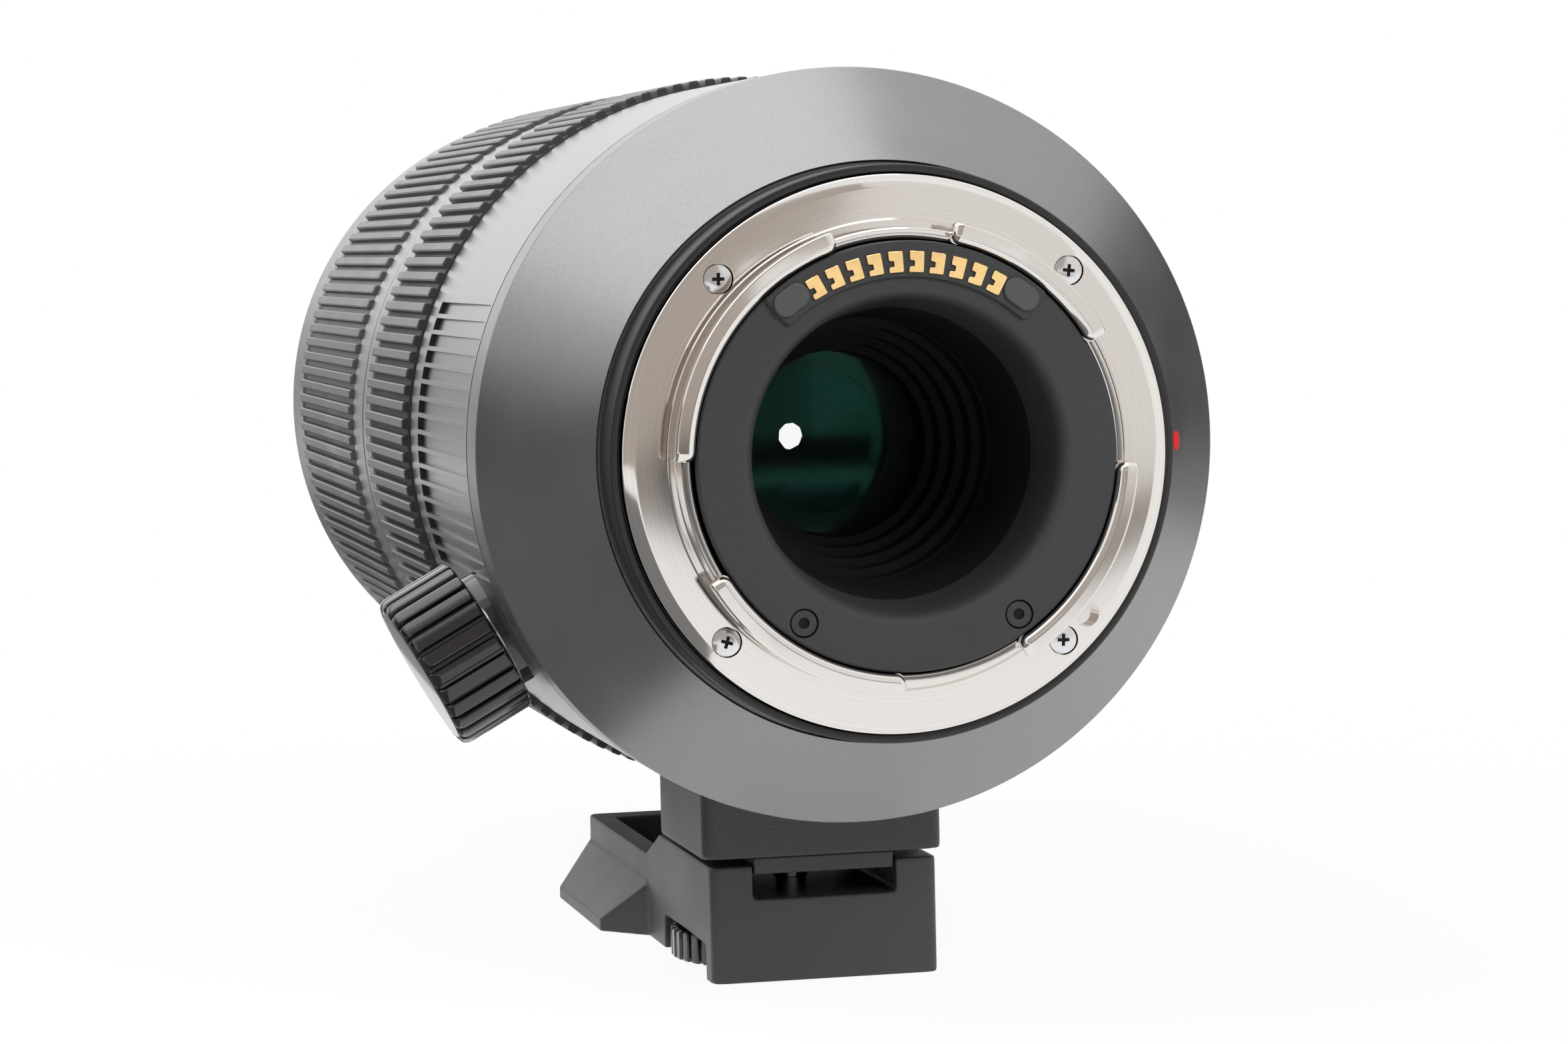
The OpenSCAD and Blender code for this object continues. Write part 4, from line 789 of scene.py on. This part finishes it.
# %% [markdown]
# Each tab is a stack of curved outlines with rounded corners. They draw in towards the top, which makes the
# broad rounded lip that catches the light.

# %% Bayonet tabs
TAB_ARCS = [(29.5, 77.5), (108, 179.5), (210, 268), (300, 357)]
TAB_R, TUBE_H, TAB_T = 25.7, 5.2, 1.6
LIP, TAB_EDGE = 0.95, 0.25
TAB_CORNER, OUTER_CORNER, TAB_ROOT = 1.1, 0.4, 0.6
SKIN, LEAST_CORNER = 0.02, 0.15
NEAR_MOST, FAR_MOST = 0.6, 0.3


def tab_outline(arc, r_out, inset, y, steps=40):
    """Points round a curved tab at one height, with its inner edge and its ends drawn in by an inset."""
    r0, r1 = THROAT_R - SKIN + inset, r_out
    a0, a1 = (arc[0] + math.degrees(inset / r0), arc[1] - math.degrees(inset / r0))
    near = min(max(TAB_CORNER - inset, LEAST_CORNER), NEAR_MOST * (r1 - r0))
    far = min(OUTER_CORNER, FAR_MOST * (r1 - r0))
    inner = [(r0 + near * (1 - s), math.degrees(near * (1 - c) / r0)) for s, c in quarter(6)]
    outer = [(r1 - far * (1 - s), math.degrees(far * (1 - c) / r1)) for s, c in quarter(4)]
    between = [(k + 1) / steps for k in range(steps - 1)]
    turn0, turn1 = inner[-1][1], outer[-1][1]
    points = [(r, a0 + turn) for r, turn in inner]
    points += [(r0, a0 + turn0 + (a1 - a0 - 2 * turn0) * t) for t in between]
    points += [(r, a1 - turn) for r, turn in reversed(inner)]
    points += [(r, a1 - turn) for r, turn in outer]
    points += [(r1, a1 - turn1 - (a1 - a0 - 2 * turn1) * t) for t in between]
    points += [(r, a0 + turn) for r, turn in reversed(outer)]
    return [at(r, a, y) for r, a in points]


def tab(arc):
    """One bayonet tab on its piece of wall, with a broad lip inside and a fine edge outside."""
    under = TAB_T - TUBE_H
    rows = [tab_outline(arc, TUBE_R, 0, y) for y in (TAB_ROOT - GAP_H, under)]
    rows += [tab_outline(arc, TAB_R - FINE_BREAK, 0, under),
             tab_outline(arc, TAB_R, 0, under - FINE_BREAK)]
    for s, c in quarter(8):
        rise = LIP * (1 - s)
        low = max(1 - rise / TAB_EDGE, 0)
        r_out = TAB_R - TAB_EDGE * (1 - math.sqrt(1 - low * low))
        rows.append(tab_outline(arc, r_out, LIP * (1 - c), rise - TUBE_H))
    return bar(rows)


tabs = [tab(arc) for arc in TAB_ARCS]
print("bayonet tabs:", len(tabs))

# %% [markdown]
# Four screws hold the bayonet, each in a round seat, and a fifth hole takes the camera's lock pin. All are
# cut as a drill would cut them, by a Boolean modifier with small cylinders as its tools.

# %% Helpers for cutting
def cut_out(mesh, *cutters):
    """Takes closed cutter shapes away from a mesh, one after the other."""
    obj = placed("blank", mesh)
    tools = [placed("cutter", cutter) for cutter in cutters]
    for tool in tools:
        cut = obj.modifiers.new("cut", "BOOLEAN")
        cut.operation, cut.solver, cut.object = "DIFFERENCE", "EXACT", tool
    result = evaluated_mesh(obj)
    for tool in tools:
        used = tool.data
        bpy.data.objects.remove(tool)
        bpy.data.meshes.remove(used)
    return result


def post(centre, radius, y0, y1, count=40):
    """A cylinder along the axis, for cutting a seat."""
    rows = [[centre + at(radius, 360 * k / count, y) for k in range(count)] for y in (y0, y1)]
    return bar(rows)


print("cutting helpers ready")

# %% [markdown]
# A screw is a turned head with a crossed recess, and the points tree sets one in each seat.

# %% Bayonet seats and screws
SCREW_CIRCLE_R = 27.7
SCREW_ANGLES = [45, 135, 225, 311]
LOCK_ANGLE, LOCK_R, LOCK_DEPTH = -41, 1.4, 1.6
HEAD_R, HEAD_T, SEAT_FIT, SHANK_R, SHANK_LEN = 1.6, 1.2, 0.08, 1.0, 2.3
HEAD_Y, SCREW_SEED, CUT_ABOVE = 0.1, 5, 1
DOME, RECESS_L, RECESS_W, RECESS_DEPTH = 0.16, 1.5, 0.42, 0.55
RECESS_SHADE_Y = 0.16


def crossed_head(radius, thick, dome, shank_r, shank_len):
    """A screw with a domed head, whose crossed recess is cut by two bars."""
    blank = turned_solid([(0, -dome), (radius * 0.5, -dome * 0.9), (radius * 0.8, -dome * 0.55),
                          (radius * 0.94, -dome * 0.1), (radius, 0.1), (radius, thick), (shank_r, thick),
                          (shank_r, shank_len), (0, shank_len)])
    length, half, deep = RECESS_L / 2, RECESS_W / 2, RECESS_DEPTH
    cutters = []
    for along, across in ((Vector((1, 0, 0)), Vector((0, 0, 1))), (Vector((0, 0, 1)), Vector((1, 0, 0)))):
        rows = []
        for y, fill in ((-2 * dome, 1), (deep - dome, 0.6)):
            rows.append([(along * u * length * fill + across * v * half * fill + Vector((0, y, 0))) * MM
                         for u, v in ((-1, -1), (1, -1), (1, 1), (-1, 1))])
        cutters.append(bar(rows))
    return cut_out(blank, *cutters)


seats = [post(at(SCREW_CIRCLE_R, a, 0), HEAD_R + SEAT_FIT, -CUT_ABOVE, HEAD_T) for a in SCREW_ANGLES]
lock_hole = post(at(SCREW_CIRCLE_R, LOCK_ANGLE, 0), LOCK_R, -CUT_ABOVE, LOCK_DEPTH)
bayonet = joined(cut_out(ring, *seats, lock_hole), *tabs)
make_piece("mount_bayonet", bayonet, [chrome], name="bayonet_finished")
screw = crossed_head(HEAD_R, HEAD_T, DOME, SHANK_R, SHANK_LEN)
mesh = fasteners([at(SCREW_CIRCLE_R, a, HEAD_Y) for a in SCREW_ANGLES], screw, steel, SCREW_SEED)
# Painted shade: the faces deep in each crossed recess get the painted shade black.
make_piece("mount_screws", mesh, [steel, painted_shade_black], rule=lambda p, n: p.y > RECESS_SHADE_Y)
print("bayonet with", len(seats), "screws")

# %% [markdown]
# ## Contacts, baffle and seal
# Gold contacts stand in a row on a plastic block. Each is a small plate with rounded corners and a notch
# where its spring is held. The baffle is a dull black plate with a funnel that keeps stray light off the
# glass, and a rubber skirt outside the flange keeps dust out.

# %% Contacts
CONTACT_R, CONTACT_Y, CONTACT_T = 21, -4.9, 0.25
CONTACT_L, CONTACT_W = 2.3, 1.65
CONTACT_COUNT, CONTACT_PITCH, CONTACT_CENTRE = 10, 6.3, 90
NOTCH_FROM, NOTCH_TO, NOTCH_IN = -0.55, 0.2, 0.62
CONTACT_CORNER, CONTACT_EDGE, SUNK = 0.16, 0.06, 0.1


def seat(angle, radius, y):
    """A place on the lens whose X points outwards, Y forwards and Z round the axis."""
    a = math.radians(angle)
    turn = Matrix(((math.cos(a), 0, -math.sin(a)), (0, 1, 0), (math.sin(a), 0, math.cos(a))))
    return Matrix.Translation(at(radius, angle, y)) @ turn.to_4x4()


def middle_of(outline):
    """The mean of an outline's points."""
    return sum((Vector(p) for p in outline), Vector((0, 0))) / len(outline)


def plate(outline, place, levels):
    """A plate from an outline across X and Z, drawn at a row of heights, each with its own shrinkage."""
    middle = middle_of(outline)
    rows = []
    for y, shrink in levels:
        row = []
        for p in outline:
            away = Vector(p) - middle
            q = middle + away * (1 - shrink / max(away.length, 0.01))
            row.append(place @ (Vector((q.x, y, q.y)) * MM))
        rows.append(row)
    return bar(rows)


l, w = CONTACT_L / 2, CONTACT_W / 2
contact = rounded([(-l, -w), (l, -w), (l, w), (NOTCH_TO, w), (NOTCH_TO, w - NOTCH_IN),
                   (NOTCH_FROM, w - NOTCH_IN), (NOTCH_FROM, w), (-l, w)], CONTACT_CORNER, 2)
first = CONTACT_CENTRE - (CONTACT_COUNT - 1) / 2 * CONTACT_PITCH
mesh = plate(contact, seat(first, CONTACT_R, CONTACT_Y),
             [(SUNK, 0), (-CONTACT_T + CONTACT_EDGE, 0), (-CONTACT_T, CONTACT_EDGE)])
mesh = round_copies(mesh, CONTACT_COUNT, CONTACT_PITCH, gold)
make_piece("contact_pads", mesh, [gold], name="contacts_finished")
print("contacts:", CONTACT_COUNT)

# %% [markdown]
# The block under the contacts is a bar bent round the axis. A pill-shaped lug near each end, of a slightly
# paler plastic, covers a rivet.

# %% Contact block
BLOCK_R0, BLOCK_R1, BLOCK_Y1, BLOCK_HALF_ANGLE = 19.35, 23.3, -1.5, 42.4
BLOCK_EASE = 0.3
LUG_ANGLE, LUG_R, LUG_HALF_L, LUG_HALF_W, LUG_T = 36.5, 21.4, 2.1, 1.35, 0.4
PILL_POINTS, LUG_EDGE_Y, LUG_SHRINK, LUG_FIT = 24, 0.12, 0.14, 0.02


def arc_bar(outline, a0, a1, ease, steps=40):
    """A bar bent round the axis, with its ends drawn in a little."""
    middle = middle_of(outline)
    turn = math.degrees(ease / middle.x)
    stops = [(a0, 1), (a0 + turn, 0)] + [(a0 + (a1 - a0) * k / steps, 0) for k in range(1, steps)]
    rows = []
    for a, drawn in stops + [(a1 - turn, 0), (a1, 1)]:
        inwards = [Vector(p) + (middle - Vector(p)).normalized() * ease * drawn for p in outline]
        rows.append([at(p.x, a, p.y) for p in inwards])
    return bar(rows)


block = rounded([(BLOCK_R0, CONTACT_Y), (BLOCK_R1, CONTACT_Y), (BLOCK_R1, BLOCK_Y1),
                 (BLOCK_R0, BLOCK_Y1)], BLOCK_EASE)
parts = [arc_bar(block, CONTACT_CENTRE - BLOCK_HALF_ANGLE, CONTACT_CENTRE + BLOCK_HALF_ANGLE, BLOCK_EASE)]
half = LUG_HALF_L - LUG_HALF_W
pill = [(LUG_HALF_W * math.cos(f), half * (1 if math.sin(f) >= 0 else -1) + LUG_HALF_W * math.sin(f))
        for f in (math.tau * (k + 0.5) / PILL_POINTS for k in range(PILL_POINTS))]
for side in (-1, 1):
    parts.append(plate(pill, seat(CONTACT_CENTRE + side * LUG_ANGLE, LUG_R, CONTACT_Y),
                       [(SUNK, 0), (LUG_EDGE_Y - LUG_T, 0), (-LUG_T, LUG_SHRINK)]))
make_piece("contact_block", joined(*parts), [plastic, lug_grey],
           rule=lambda p, n: p.y < CONTACT_Y - LUG_FIT)
print("contact block with", len(parts) - 1, "lugs")

# %% [markdown]
# The baffle's mouth is rounded over into its funnel, whose deep end is painted darker than the plate, as
# painted shade. Its two small screws have a plain round socket, so they are simply turned.

# %% Baffle
BAFFLE_R, MOUTH_R, FUNNEL_R, FUNNEL_WALL = 23.3, 16.9, 14.8, 1.2
PLATE_Y0, PLATE_Y1, PAINTED_SHADE_Y, FUNNEL_Y = -4.4, -3.0, 4, 16
PAINTED_SHADE_R = MOUTH_R + (FUNNEL_R - MOUTH_R) * (PAINTED_SHADE_Y - PLATE_Y0) / (FUNNEL_Y - PLATE_Y0)
MOUTH_ROUND, MOUTH_STRETCH, MOUTH_STEPS = 1.5, 1.6, 8
PLATE_EDGE = 0.2
SMALL_CIRCLE_R, SMALL_SCREW_ANGLES = 21.2, (235.6, 304.4)
SMALL_SEAT_R, SMALL_SEAT_DEPTH = 1.6, 1
outline = []
for k in range(MOUTH_STEPS + 1):
    f = math.radians(90 * k / MOUTH_STEPS)
    outline.append((MOUTH_R + MOUTH_ROUND * (1 - math.sin(f)),
                    PLATE_Y0 + MOUTH_ROUND * (1 - math.cos(f)) * MOUTH_STRETCH))
outline += [(PAINTED_SHADE_R, PAINTED_SHADE_Y), (FUNNEL_R, FUNNEL_Y), (FUNNEL_R + FUNNEL_WALL, FUNNEL_Y),
            (MOUTH_R + FUNNEL_WALL, PLATE_Y1 + 0.4), (BAFFLE_R, PLATE_Y1), (BAFFLE_R, PLATE_Y0 + PLATE_EDGE),
            (BAFFLE_R - PLATE_EDGE, PLATE_Y0)]
seats = [post(at(SMALL_CIRCLE_R, a, 0), SMALL_SEAT_R, PLATE_Y0 - CUT_ABOVE, PLATE_Y0 + SMALL_SEAT_DEPTH)
         for a in SMALL_SCREW_ANGLES]
# Painted shade: the funnel's deep end gets the darker inner finish.
make_piece("rear_baffle", cut_out(turned(outline), *seats), [plastic, inner_black_and_painted_shade],
           name="baffle_finished", rule=lambda p, n: p.y > PAINTED_SHADE_Y)
print("baffle turned, funnel", FUNNEL_Y - PLATE_Y0, "mm deep")

# %% [markdown]
# The screws' heads lie just below the plate, each in its seat, and only their sockets are painted dark, as
# painted shade. The seal is a plain ring with soft corners.

# %% Baffle screws and seal
SMALL_HEAD_Y, SMALL_HEAD_R, SMALL_HEAD_T = PLATE_Y0 + 0.15, 1.5, 0.7
SOCKET_R, SOCKET_DEPTH, SOCKET_SHADE = 0.6, 0.35, 0.04
SMALL_SHANK_R, SMALL_SHANK_LEN, SMALL_SEED = 0.8, 3.4, 3
SEAL_R0, SEAL_R1, SEAL_Y0, SEAL_Y1, SEAL_EASE = 30.7, 31.65, 1.4, 7.6, 0.35


def socket_head(radius, thick, socket_r, deep, shank_r, shank_len):
    """A flat screw with a round socket in its head."""
    return turned_solid([(0, deep), (socket_r * 0.9, deep), (socket_r, deep - 0.05), (socket_r, 0.06),
                         (socket_r + 0.08, 0), (radius - 0.12, 0), (radius, 0.1), (radius, thick),
                         (shank_r, thick), (shank_r, shank_len), (0, shank_len)])


small_screw = socket_head(SMALL_HEAD_R, SMALL_HEAD_T, SOCKET_R, SOCKET_DEPTH, SMALL_SHANK_R, SMALL_SHANK_LEN)
places = [at(SMALL_CIRCLE_R, a, SMALL_HEAD_Y) for a in SMALL_SCREW_ANGLES]
mesh = fasteners(places, small_screw, plastic, SMALL_SEED)
# Painted shade: the faces deep in each socket get the darker inner finish.
make_piece("baffle_screws", mesh, [plastic, inner_black_and_painted_shade],
           rule=lambda p, n: p.y > SMALL_HEAD_Y + SOCKET_SHADE)
seal = turned([(SEAL_R0, SEAL_Y0), (SEAL_R1, SEAL_Y0), (SEAL_R1, SEAL_Y1), (SEAL_R0, SEAL_Y1)], SEAL_EASE)
make_piece("mount_seal", seal, [rubber], name="seal_finished")
print("baffle screws:", len(SMALL_SCREW_ANGLES), "and one seal")

# %% [markdown]
# ## Rear housing and smooth bands
# The wide cone and the index band are turned too. The cone's small end has a lip beside the seal, and the
# band carries a fine double line that was cut with a pointed tool.

# %% Turned outer parts
SPIGOT_R, SEAL_SEAT_R, CONE_R, RIM_R = 25.5, 30.65, 32.1, 43
SPIGOT_Y, LIP_Y, SEAT_Y, CONE_Y, HOUSING_Y = 2.4, 6.8, 7.6, 22.6, 29
BORE_R, BORE_Y, INNER_R, INNER_Y, STEP_R = 37, 16.5, 29, 6, 33
HOUSING_EASE = 0.3
housing = [(SPIGOT_R, SPIGOT_Y), (SEAL_SEAT_R, SPIGOT_Y), (SEAL_SEAT_R, SEAT_Y), (CONE_R, SEAT_Y),
           (CONE_R, LIP_Y), (RIM_R, CONE_Y), (RIM_R, HOUSING_Y), (BORE_R, HOUSING_Y), (BORE_R, BORE_Y),
           (STEP_R, BORE_Y), (INNER_R, SEAT_Y), (INNER_R, INNER_Y), (SPIGOT_R, INNER_Y)]
make_piece("rear_housing", turned(housing, HOUSING_EASE), [satin])
BAND_R, BAND_BORE, BAND_EDGE = 43.3, 41.5, 0.3
BAND_Y0, BAND_EDGE_Y0, BAND_EDGE_Y1, BAND_Y1 = 110.4, 110.7, 117.1, 117.4
LINES_Y, LINE_DEPTH, LINE_HALF = (112.6, 113.5), 0.16, 0.14
lines = []
for y in LINES_Y:
    lines += [(BAND_R, y - LINE_HALF), (BAND_R - LINE_DEPTH, y), (BAND_R, y + LINE_HALF)]
band = ([(BAND_BORE, BAND_Y0), (BAND_R - BAND_EDGE, BAND_Y0), (BAND_R, BAND_EDGE_Y0)] + lines
        + [(BAND_R, BAND_EDGE_Y1), (BAND_R - BAND_EDGE, BAND_Y1), (BAND_BORE, BAND_Y1)])
make_piece("index_band", turned(band), [band_satin_painted_light])
print("turned housing and band")

# %% [markdown]
# ## Front rim
# The rim takes filters, so it has a fine thread inside. A zigzag in its outline is enough for that, because
# the climb of such fine turns cannot be seen.

# %% Front rim
FILTER_R, THREAD_TURNS, THREAD_PITCH, THREAD_H = 40.6, 5, 0.75, 0.4
FRONT_R, FRONT_BACK_R, FRONT_FACE_R, FRONT_MOUTH_R = 43.5, 43.2, 42.7, 41.2
FRONT_BORE, FRONT_HOLE = 36.6, 35.3
FRONT_Y0, FRONT_BREAK_Y, THREAD_Y, FRONT_Y1 = 184.6, 184.9, 197.2, 198
WEB_Y = (191, 193.6)
thread = []
for k in range(THREAD_TURNS):
    y = THREAD_Y - k * THREAD_PITCH
    thread += [(FILTER_R, y), (FILTER_R + THREAD_H, y - THREAD_PITCH / 2)]
rim = ([(FRONT_BORE, FRONT_Y0), (FRONT_BACK_R, FRONT_Y0), (FRONT_R, FRONT_BREAK_Y), (FRONT_R, THREAD_Y),
        (FRONT_FACE_R, FRONT_Y1), (FRONT_MOUTH_R, FRONT_Y1)] + thread
       + [(FILTER_R, WEB_Y[1]), (FRONT_HOLE, WEB_Y[1]), (FRONT_HOLE, WEB_Y[0]), (FRONT_BORE, WEB_Y[0])])
make_piece("front_rim", turned(rim), [satin])
print("front rim with", THREAD_TURNS, "turns of thread")

# %% [markdown]
# ## Collar, neck and foot
# A bevel of a few tenths of a millimetre rounds every sharp edge, because machined parts never have razor
# edges. Cast parts are rounder: their copy is rebuilt as an even skin and smoothed. A long cylinder also
# gets the normals of a true one, so that its many flat faces do not show in a reflection.

# %% Helpers for machined and cast parts
FLAT_ANGLE, EASE_SEGMENTS, EASE_ANGLE = 0.6, 3, 28
ROUND_FIT, ROUND_FACING = 0.02, 0.97
CAST_VOXEL, CAST_PASSES, CAST_RELAX, CAST_SHARE, CAST_SHARP = 0.25, 8, 0.5, 0.3, 60


def eased(node, ease, materials, rule=None):
    """A copy of a solid with bevelled edges, which stands for it."""
    obj = placed(node + "_copy", merged_copy(node, FLAT_ANGLE))
    bevel = obj.modifiers.new("ease", "BEVEL")
    bevel.width = ease * MM
    bevel.segments = EASE_SEGMENTS
    bevel.limit_method = "ANGLE"
    bevel.angle_limit = math.radians(EASE_ANGLE)
    bevel.use_clamp_overlap = True
    return make_piece(node, evaluated_mesh(obj), materials, rule=rule)


def round_normals(obj, radius):
    """Turns the shading of an outer cylinder round the optical axis into that of a true one."""
    mesh = obj.data
    normals = [corner.vector.copy() for corner in mesh.corner_normals]
    for face in mesh.polygons:
        for loop in face.loop_indices:
            point = mesh.vertices[mesh.loops[loop].vertex_index].co
            away = Vector((point.x, 0, point.z))
            out = away.normalized()
            if away.length > (radius - ROUND_FIT) * MM and face.normal.dot(out) > ROUND_FACING:
                normals[loop] = out
    mesh.normals_split_custom_set(normals)


def softened(node, materials):
    """A copy of a cast solid, rebuilt as a fine even skin and smoothed until its edges are round."""
    obj = placed(node + "_copy", merged_copy(node))
    skin = obj.modifiers.new("skin", "REMESH")
    skin.mode, skin.voxel_size = "VOXEL", CAST_VOXEL * MM
    relax = obj.modifiers.new("relax", "SMOOTH")
    relax.factor, relax.iterations = CAST_RELAX, CAST_PASSES
    thin = obj.modifiers.new("thin", "DECIMATE")
    thin.ratio = CAST_SHARE
    return make_piece(node, evaluated_mesh(obj), materials, sharp=CAST_SHARP)


print("helpers for machined and cast parts ready")

# %% [markdown]
# The collar is machined, so its solid only gets eased edges and the shading of a true cylinder, and the end
# walls of its pockets are painted black, as painted shade. The neck and the foot are cast and blasted, so
# they get the smooth skin. The rail and the wheel are eased.

# %% Collar, neck and foot
POCKET_SHADE_WALLS_Y, WALL_FACING = (50, 72), -0.8
COLLAR_EASE, RAIL_EASE, WHEEL_EASE = 0.12, 0.3, 0.2
# Painted shade: the backward-facing front walls of the pockets get the painted shade black.
collar = eased("tripod_collar", COLLAR_EASE, [collar_satin_painted_light, painted_shade_black],
               rule=lambda p, n: n.y < WALL_FACING and POCKET_SHADE_WALLS_Y[0] < p.y < POCKET_SHADE_WALLS_Y[1])
round_normals(collar, RIM_R)
softened("collar_neck", [foot_black])
eased("foot_rail", RAIL_EASE, [foot_black])
softened("tripod_foot", [foot_black])
eased("lock_wheel", WHEEL_EASE, [knob_black])
print("collar, neck and foot finished")

# %% [markdown]
# ## Clamp knob
# The knob is a moulded grip with wide rounded lands and narrow grooves. One land with a rounded end, copied
# all round, stands on a plain core. The knob is drawn on the optical axis and then set on its spindle.

# %% Knob
KNOB_ANGLE, KNOB_Y, KNOB_R0 = 209, 44, 44.2
KNOB_LEN, KNOB_CORE_R, KNOB_SIDES, KNOB_LANDS = 9.4, 9.0, 104, 26
LAND = [(8.7, -0.93), (9.4, -0.88), (9.6, -0.74), (9.7, -0.42), (9.7, 0.42), (9.6, 0.74), (9.4, 0.88),
        (8.7, 0.93)]
LAND_ENDS = [(0.1, 0.3), (0.35, 0.05), (0.6, 0), (8.1, 0), (8.6, 0.06), (9.0, 0.24), (9.25, 0.5), (9.35, 0.8)]
core = turned_solid([(0, 0.05), (8.8, 0.05), (KNOB_CORE_R, 0.25), (KNOB_CORE_R, 8.5), (8.8, 9.1), (8.4, 9.38),
                     (7.8, KNOB_LEN), (0, KNOB_LEN)], KNOB_SIDES)
land = bar([[Vector((r - less if r > KNOB_CORE_R else r, y, z)) * MM for r, z in LAND]
            for y, less in LAND_ENDS])
knob = joined(core, round_copies(land, KNOB_LANDS, 360 / KNOB_LANDS, knob_black))
out = at(1, KNOB_ANGLE, 0).normalized()
lens_axis = Vector((0, 1, 0))
spindle = Matrix((lens_axis, out, lens_axis.cross(out))).transposed().to_4x4()
knob.transform(Matrix.Translation(at(KNOB_R0, KNOB_ANGLE, KNOB_Y)) @ spindle)
make_piece("clamp_knob", knob, [knob_black])
print("knob with", KNOB_LANDS, "lands")

# %% [markdown]
# ## Grip rings
# The focus ring and the zoom ring carry the same 132 ribs: wide lands with narrow grooves between them.
# A turned ring is the base, and one low bar with chamfered edges, copied round the axis, makes the ribs.

# %% Focus and zoom rings
RIB_COUNT, RIB_TOP_R, RIB_FOOT_R = 132, 44, 43.2
RIB_HALF, RIB_FLANK, RIB_EDGE, RIB_SINK = 0.6, 0.12, 0.16, 0.3
END_LIP_R, END_LIP_Y, END_BREAK = 43.3, 75.6, 0.15
FOCUS_BORE, FOCUS_Y0, FOCUS_FOOT_Y, FOCUS_Y1 = 41.6, 75, 109.8, 110
ZOOM_BORE, ZOOM_Y0, ZOOM_STRIP_Y0, ZOOM_STRIP_Y1 = 40.5, 117.8, 118.1, 127.5
ZOOM_RIBS_Y0, ZOOM_FOOT_Y, ZOOM_Y1 = 127.6, 184.0, 184.2
RING_END_R = 43.0
STRIP_Y = (117.9, 127.55)
GROOVE_FIT, LIP_FIT = 0.05, 0.1
FOCUS_RIBS_Y, ZOOM_RIBS_Y = (75.05, 109.9), (ZOOM_RIBS_Y0, 184.1)
PAINTED_LIGHT_STRIP = 2


def rib(y0, y1):
    """One rib along the axis, at angle 0, sunk a little into its ring."""
    rows = []
    for y, less in ((y0, RIB_EDGE), (y0 + RIB_EDGE, 0), (y1 - RIB_EDGE, 0), (y1, RIB_EDGE)):
        half, top = RIB_HALF, RIB_TOP_R - less
        sunk, wide = RIB_FOOT_R - RIB_SINK, half + RIB_FLANK
        section = [(sunk, -wide), (top - RIB_EDGE, -half), (top, RIB_EDGE - half), (top, half - RIB_EDGE),
                   (top - RIB_EDGE, half), (sunk, wide)]
        rows.append([Vector((r, y, z)) * MM for r, z in section])
    return bar(rows)


def grip_ring(node, outline, y0, y1, groove):
    """A ring with ribs, painted shade in its grooves and on its rear edge, and painted light on any smooth
    strip.
    """
    def finish_at(p, n):
        # Painted shade on the grooves and the rear lip; the smooth strip gets the band's lighter satin,
        # painted light.
        if STRIP_Y[0] < p.y < STRIP_Y[1]:
            return PAINTED_LIGHT_STRIP
        in_groove = Vector((p.x, p.z)).length < RIB_FOOT_R + GROOVE_FIT and y0 < p.y < y1
        return in_groove or p.y < END_LIP_Y + LIP_FIT

    ribs = round_copies(rib(y0, y1), RIB_COUNT, 360 / RIB_COUNT, ring_satin)
    make_piece(node, joined(turned(outline), ribs), [ring_satin, groove, band_satin_painted_light],
               rule=finish_at)


focus = [(FOCUS_BORE, FOCUS_Y0), (END_LIP_R - END_BREAK, FOCUS_Y0), (END_LIP_R, FOCUS_Y0 + END_BREAK),
         (END_LIP_R, END_LIP_Y), (RIB_FOOT_R, END_LIP_Y + 0.2), (RIB_FOOT_R, FOCUS_FOOT_Y),
         (RING_END_R, FOCUS_Y1), (FOCUS_BORE, FOCUS_Y1)]
grip_ring("focus_ring", focus, *FOCUS_RIBS_Y, rib_gap_painted_shade)
zoom = [(ZOOM_BORE, ZOOM_Y0), (RING_END_R, ZOOM_Y0), (BAND_R, ZOOM_STRIP_Y0), (BAND_R, ZOOM_STRIP_Y1),
        (RIB_FOOT_R, ZOOM_RIBS_Y0), (RIB_FOOT_R, ZOOM_FOOT_Y), (RING_END_R, ZOOM_Y1), (ZOOM_BORE, ZOOM_Y1)]
grip_ring("zoom_ring", zoom, *ZOOM_RIBS_Y, zoom_gap_painted_shade)
print("ribs on each ring:", RIB_COUNT)
